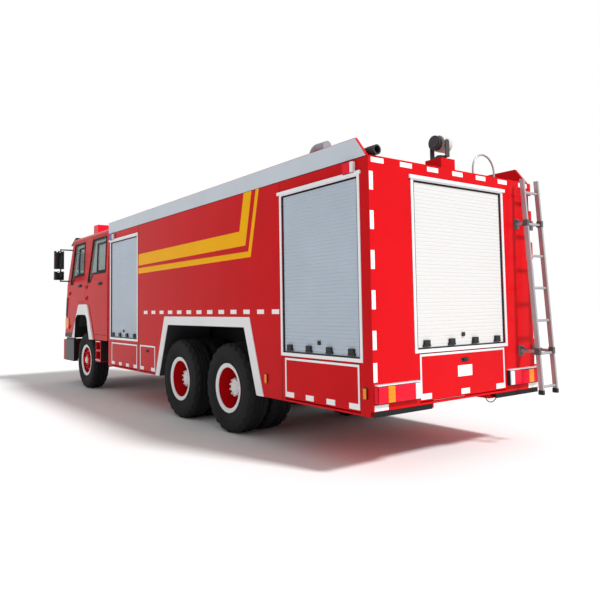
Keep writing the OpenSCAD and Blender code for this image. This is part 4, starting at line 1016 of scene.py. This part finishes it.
DECK_TOP = SIDE_TOP + 0.01
LID_PLACE = 3.80
LID = [(0.0, 0.112), (0.27, 0.106), (0.295, 0.098), (0.295, 0.089)]
LID_BOLT_CIRCLE = 0.275
HOSE_RIB = [(0.0415, 0.0), (0.0455, 0.006), (0.0455, 0.014), (0.0415, 0.02)]
HOSE_RIB_COUNT = 44
HOSE_RIB_PITCH = 0.04
MONITOR_BOLT_CIRCLE = 0.105


def deck_plates():
    """Two rows of tread plates along the roof."""
    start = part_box("roof_deck")[0][0] + 0.55
    plates = Shape()
    for k in range(6):
        x0 = start + 1.03 * k
        for sign in SIGNS:
            y0, y1 = mirrored(sign, 0.42, 1.08)
            plates.box((x0, y0, DECK_TOP), (x0 + 1.0, y1, DECK_TOP + 0.003))
    plates.done("deck_plates", "chassis", "aluminium", TREAD)


def filler_lid():
    """The tank's lid with its bolts and handle."""
    lid = Shape()
    x = station(LID_PLACE)
    lid.lathe(LID, (x, 0, DECK_TOP), (0, 0, 1), steps=48)
    for k in range(8):
        angle = math.tau * k / 8
        out = Vector((math.cos(angle), math.sin(angle), 0)) * LID_BOLT_CIRCLE
        foot = Vector((x, 0, DECK_TOP + 0.10)) + out
        lid.rod(foot, foot + Vector((0, 0, 0.025)), 0.016, sides=6)
    low, high = DECK_TOP + 0.10, DECK_TOP + 0.15
    lid.tube([(x - 0.09, 0, low), (x - 0.085, 0, high), (x + 0.085, 0, high), (x + 0.09, 0, low)], 0.010)
    lid.done("filler_lid", "chassis", "red_paint", RED, smooth=True)


def hose_ribs():
    """Ribs along the suction hose, between its couplings."""
    low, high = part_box("suction_hose")
    ribs = Shape()
    y = (low[1] + high[1]) / 2
    z = high[2] - 0.047
    for k in range(HOSE_RIB_COUNT):
        x = low[0] + 0.14 + HOSE_RIB_PITCH * k
        ribs.lathe(HOSE_RIB, (x, y, z), (1, 0, 0), steps=24)
    ribs.done("hose_ribs", "chassis", "hose", RUBBER, smooth=True)


def monitor_handwheel():
    """The handwheel on the turret's left side that tilts the monitor."""
    low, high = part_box("monitor_turret")
    hub = Vector(((low[0] + high[0]) / 2, high[1] + 0.002, high[2] - 0.045))
    reach = Vector((0, 0.03, 0))
    radius = 0.07
    wheel = Shape()
    wheel.rod(hub, hub + reach, 0.012)
    ring = []
    for k in range(25):
        angle = math.tau * k / 24
        ring.append(hub + reach + Vector((math.cos(angle), 0, math.sin(angle))) * radius)
    wheel.tube(ring, 0.008)
    for spoke_end in ring[0:24:6]:
        wheel.rod(hub + reach, spoke_end, 0.006)
    wheel.done("monitor_handwheel", "monitor_turret", "red_paint", RED, smooth=True)


def monitor_bolts():
    """Bolts of the flange that the monitor stands on."""
    low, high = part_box("monitor_turret")
    x = (low[0] + high[0]) / 2
    bolts = Shape()
    for k in range(8):
        angle = math.tau * k / 8
        out = Vector((math.cos(angle), math.sin(angle), 0)) * MONITOR_BOLT_CIRCLE
        foot = Vector((x, 0, SIDE_TOP + 0.03)) + out
        bolts.rod(foot, foot + Vector((0, 0, 0.016)), 0.012, sides=6)
    bolts.done("monitor_bolts", "chassis", "bare_steel", STEEL)


# Searchlight and ladder

LAMP_LENS = [(0.0, 0.030), (0.03, 0.027), (0.055, 0.018), (0.072, 0.006), (0.0785, -0.006)]
LAMP_NECK = [(0.064, 0.025), (0.060, 0.034), (0.044, 0.038), (0.036, 0.050), (0.0, 0.050)]
LADDER_OUTER = -1.23
LADDER_WIDTH = 0.29
STILE_HALF = 0.013
LADDER_Y = (LADDER_OUTER + STILE_HALF, LADDER_OUTER + LADDER_WIDTH - STILE_HALF)
LADDER_FOOT_Z = 0.556
LADDER_LEAN = 0.14
LADDER_RISE = 2.334
CLAMP_HALF = 0.019
BRACKET_Z = (1.006, 2.40)


def searchlight_details():
    """The searchlight's lens, and the neck that carries its yoke."""
    low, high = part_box("searchlight_head")
    x, z = (low[0] + high[0]) / 2, (low[2] + high[2]) / 2
    lens = Shape()
    lens.lathe(LAMP_LENS, (x, low[1] + 0.006, z), (0, -1, 0), steps=40)
    lens.done("searchlight_lens", "searchlight_head", "lens", CLEAR_LENS, smooth=True)
    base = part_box("searchlight_yoke")[0]
    neck = Shape()
    neck.lathe(LAMP_NECK, (x, base[1] + 0.070, base[2]), (0, 0, 1), steps=40)
    neck.done("searchlight_neck", "searchlight_yoke", "dark_steel", DARK_STEEL, smooth=True)


def ladder_details():
    """Feet, clamps and stays of the leaning rear ladder."""
    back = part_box("ladder")[0][0]
    dark = Shape()
    feet = Shape()
    for y in LADDER_Y:
        y0, y1 = y - CLAMP_HALF, y + CLAMP_HALF
        feet.box((back, y0, 0.551), (back + 0.058, y1, 0.60))
        for z in BRACKET_Z:
            x = back + (z - LADDER_FOOT_Z) * LADDER_LEAN / LADDER_RISE
            dark.box((x - 0.004, y0, z - 0.035), (x + 0.058, y1, z + 0.035))
            dark.box((REAR - 0.006, y - 0.05, z - 0.055), (REAR - 0.0005, y + 0.05, z + 0.055))
            dark.rod((x + 0.05, y, z - 0.03), (REAR - 0.004, y, z + 0.045), 0.010)
    dark.done("ladder_clamps", "chassis", "dark_steel", CAST, bevel=0.003)
    feet.done("ladder_feet", "chassis", "black_plastic", BLACK, bevel=0.004)


# Camera, light and floor; the camera's x is its distance from the body's rear face

CAMERA_PLACE = (-4.018, 4.9867, 1.5223)
CAMERA_YAW, CAMERA_PITCH, CAMERA_ROLL = -36.349, 3.580, -0.916
FOCAL_PIXELS = 613.31
AXIS_ROW = 268.53
IMAGE = 600
SUN_DIRECTION = (0.66, 0.24, -0.71)
SUN_STRENGTH = 3.0
SUN_ANGLE = 9
SKY_STRENGTH = 0.47
FLOOR_HALF = 60


def set_camera():
    """The camera fitted to the photo, with its axis above the picture's middle row."""
    yaw, pitch, roll = (math.radians(a) for a in (CAMERA_YAW, CAMERA_PITCH, CAMERA_ROLL))
    ahead = Vector((math.cos(yaw) * math.cos(pitch), math.sin(yaw) * math.cos(pitch), math.sin(pitch)))
    right = ahead.cross(Vector((0, 0, 1))).normalized()
    up = right.cross(ahead)
    turned_right = right * math.cos(roll) + up * math.sin(roll)
    turned_up = up * math.cos(roll) - right * math.sin(roll)
    data = bpy.data.cameras.new("camera")
    data.sensor_width = 36
    data.lens = FOCAL_PIXELS * data.sensor_width / IMAGE
    data.shift_y = -(IMAGE / 2 - AXIS_ROW) / IMAGE
    data.clip_end = 200
    camera = bpy.data.objects.new("camera", data)
    place = Vector((station(CAMERA_PLACE[0]), CAMERA_PLACE[1], CAMERA_PLACE[2]))
    axes = Matrix((turned_right, turned_up, -ahead)).transposed().to_4x4()
    camera.matrix_world = Matrix.Translation(place) @ axes
    bpy.context.scene.collection.objects.link(camera)
    bpy.context.scene.camera = camera


def set_light():
    """A soft sun and a white sky that lights the part less brightly than it shows."""
    sun = bpy.data.lights.new("key", "SUN")
    sun.energy = SUN_STRENGTH
    sun.angle = math.radians(SUN_ANGLE)
    key = bpy.data.objects.new("key", sun)
    key.matrix_world = Vector(SUN_DIRECTION).to_track_quat("-Z", "Y").to_matrix().to_4x4()
    bpy.context.scene.collection.objects.link(key)
    world = bpy.data.worlds.new("studio")
    bpy.context.scene.world = world
    world.use_nodes = True
    tree = world.node_tree
    ground = tree.nodes["Background"]
    ground.inputs["Color"].default_value = (1, 1, 1, 1)
    ground.inputs["Strength"].default_value = SKY_STRENGTH
    seen = tree.nodes.new("ShaderNodeBackground")
    seen.inputs["Strength"].default_value = 1.0
    seen.inputs["Color"].default_value = (1, 1, 1, 1)
    path = tree.nodes.new("ShaderNodeLightPath")
    mix = tree.nodes.new("ShaderNodeMixShader")
    rays = ("Is Camera Ray", "Is Glossy Ray", "Is Transmission Ray")
    last = path.outputs[rays[0]]
    for ray in rays[1:]:
        either = tree.nodes.new("ShaderNodeMath")
        either.operation = "MAXIMUM"
        tree.links.new(last, either.inputs[0])
        tree.links.new(path.outputs[ray], either.inputs[1])
        last = either.outputs["Value"]
    tree.links.new(last, mix.inputs["Fac"])
    tree.links.new(ground.outputs["Background"], mix.inputs[1])
    tree.links.new(seen.outputs["Background"], mix.inputs[2])
    tree.links.new(mix.outputs["Shader"], tree.nodes["World Output"].inputs["Surface"])


def set_floor():
    """A pale floor that belongs to the stage and not to the part."""
    shape = Shape()
    outline = rectangle(-FLOOR_HALF, -FLOOR_HALF, FLOOR_HALF, FLOOR_HALF)
    corners = [shape.bm.verts.new((x, y, 0)) for x, y in outline]
    shape.bm.faces.new(corners)
    mesh = bpy.data.meshes.new("floor")
    shape.bm.to_mesh(mesh)
    shape.bm.free()
    floor = bpy.data.objects.new("floor", mesh)
    bpy.context.scene.collection.objects.link(floor)
    pale = material("pale_floor", (0.95, 0.95, 0.95), 0.9, spread=0.005, grain=8, bump=0.0)
    mesh.materials.append(pale)


set_camera()
set_light()
set_floor()
finish_nodes()
for side_sign, side_name in SIDES:
    side_stripes(side_sign, side_name)
    board_face(side_sign, side_name)
    side_dashes(side_sign, side_name)
    panel_seams(side_sign, side_name)
    arch_band(side_sign, side_name)
    flap_fittings(f"rear_flap_{side_name}", on_side(side_sign), 0, SIDE, 4, False)
    flap_fittings(f"front_flap_{side_name}", on_side(side_sign), 0, SIDE, 4, False)
    flap_fittings(f"locker_{side_name}", on_side(side_sign), 0, SIDE, 2, True)
    door_fittings(side_sign, side_name, "front")
    door_fittings(side_sign, side_name, "rear")
    mirror_glass(side_sign, side_name)
    corner_guard(side_sign, side_name)
    arch_lip(side_sign, side_name)
    step_trim(side_sign, side_name)
    bumper_skirt(side_sign, side_name)
    corner_trim(side_sign, side_name)
rear_film()
wire_loop()
flap_fittings("tail_flap", on_rear, 1, 0.0, 3, True)
number_plate()
painted_shade_under_apron()
splash_sheets()
shutter_fittings()
lamp_lenses()
for side_sign, side_name in SIDES:
    front_wheel(side_sign, side_name)
    twin_wheels(side_sign, side_name, "mid")
    twin_wheels(side_sign, side_name, "rear")
grille()
wipers()
corner_lamps()
light_bar()
deck_plates()
filler_lid()
hose_ribs()
monitor_handwheel()
monitor_bolts()
searchlight_details()
ladder_details()

bpy.context.scene.view_settings.view_transform = "Standard"
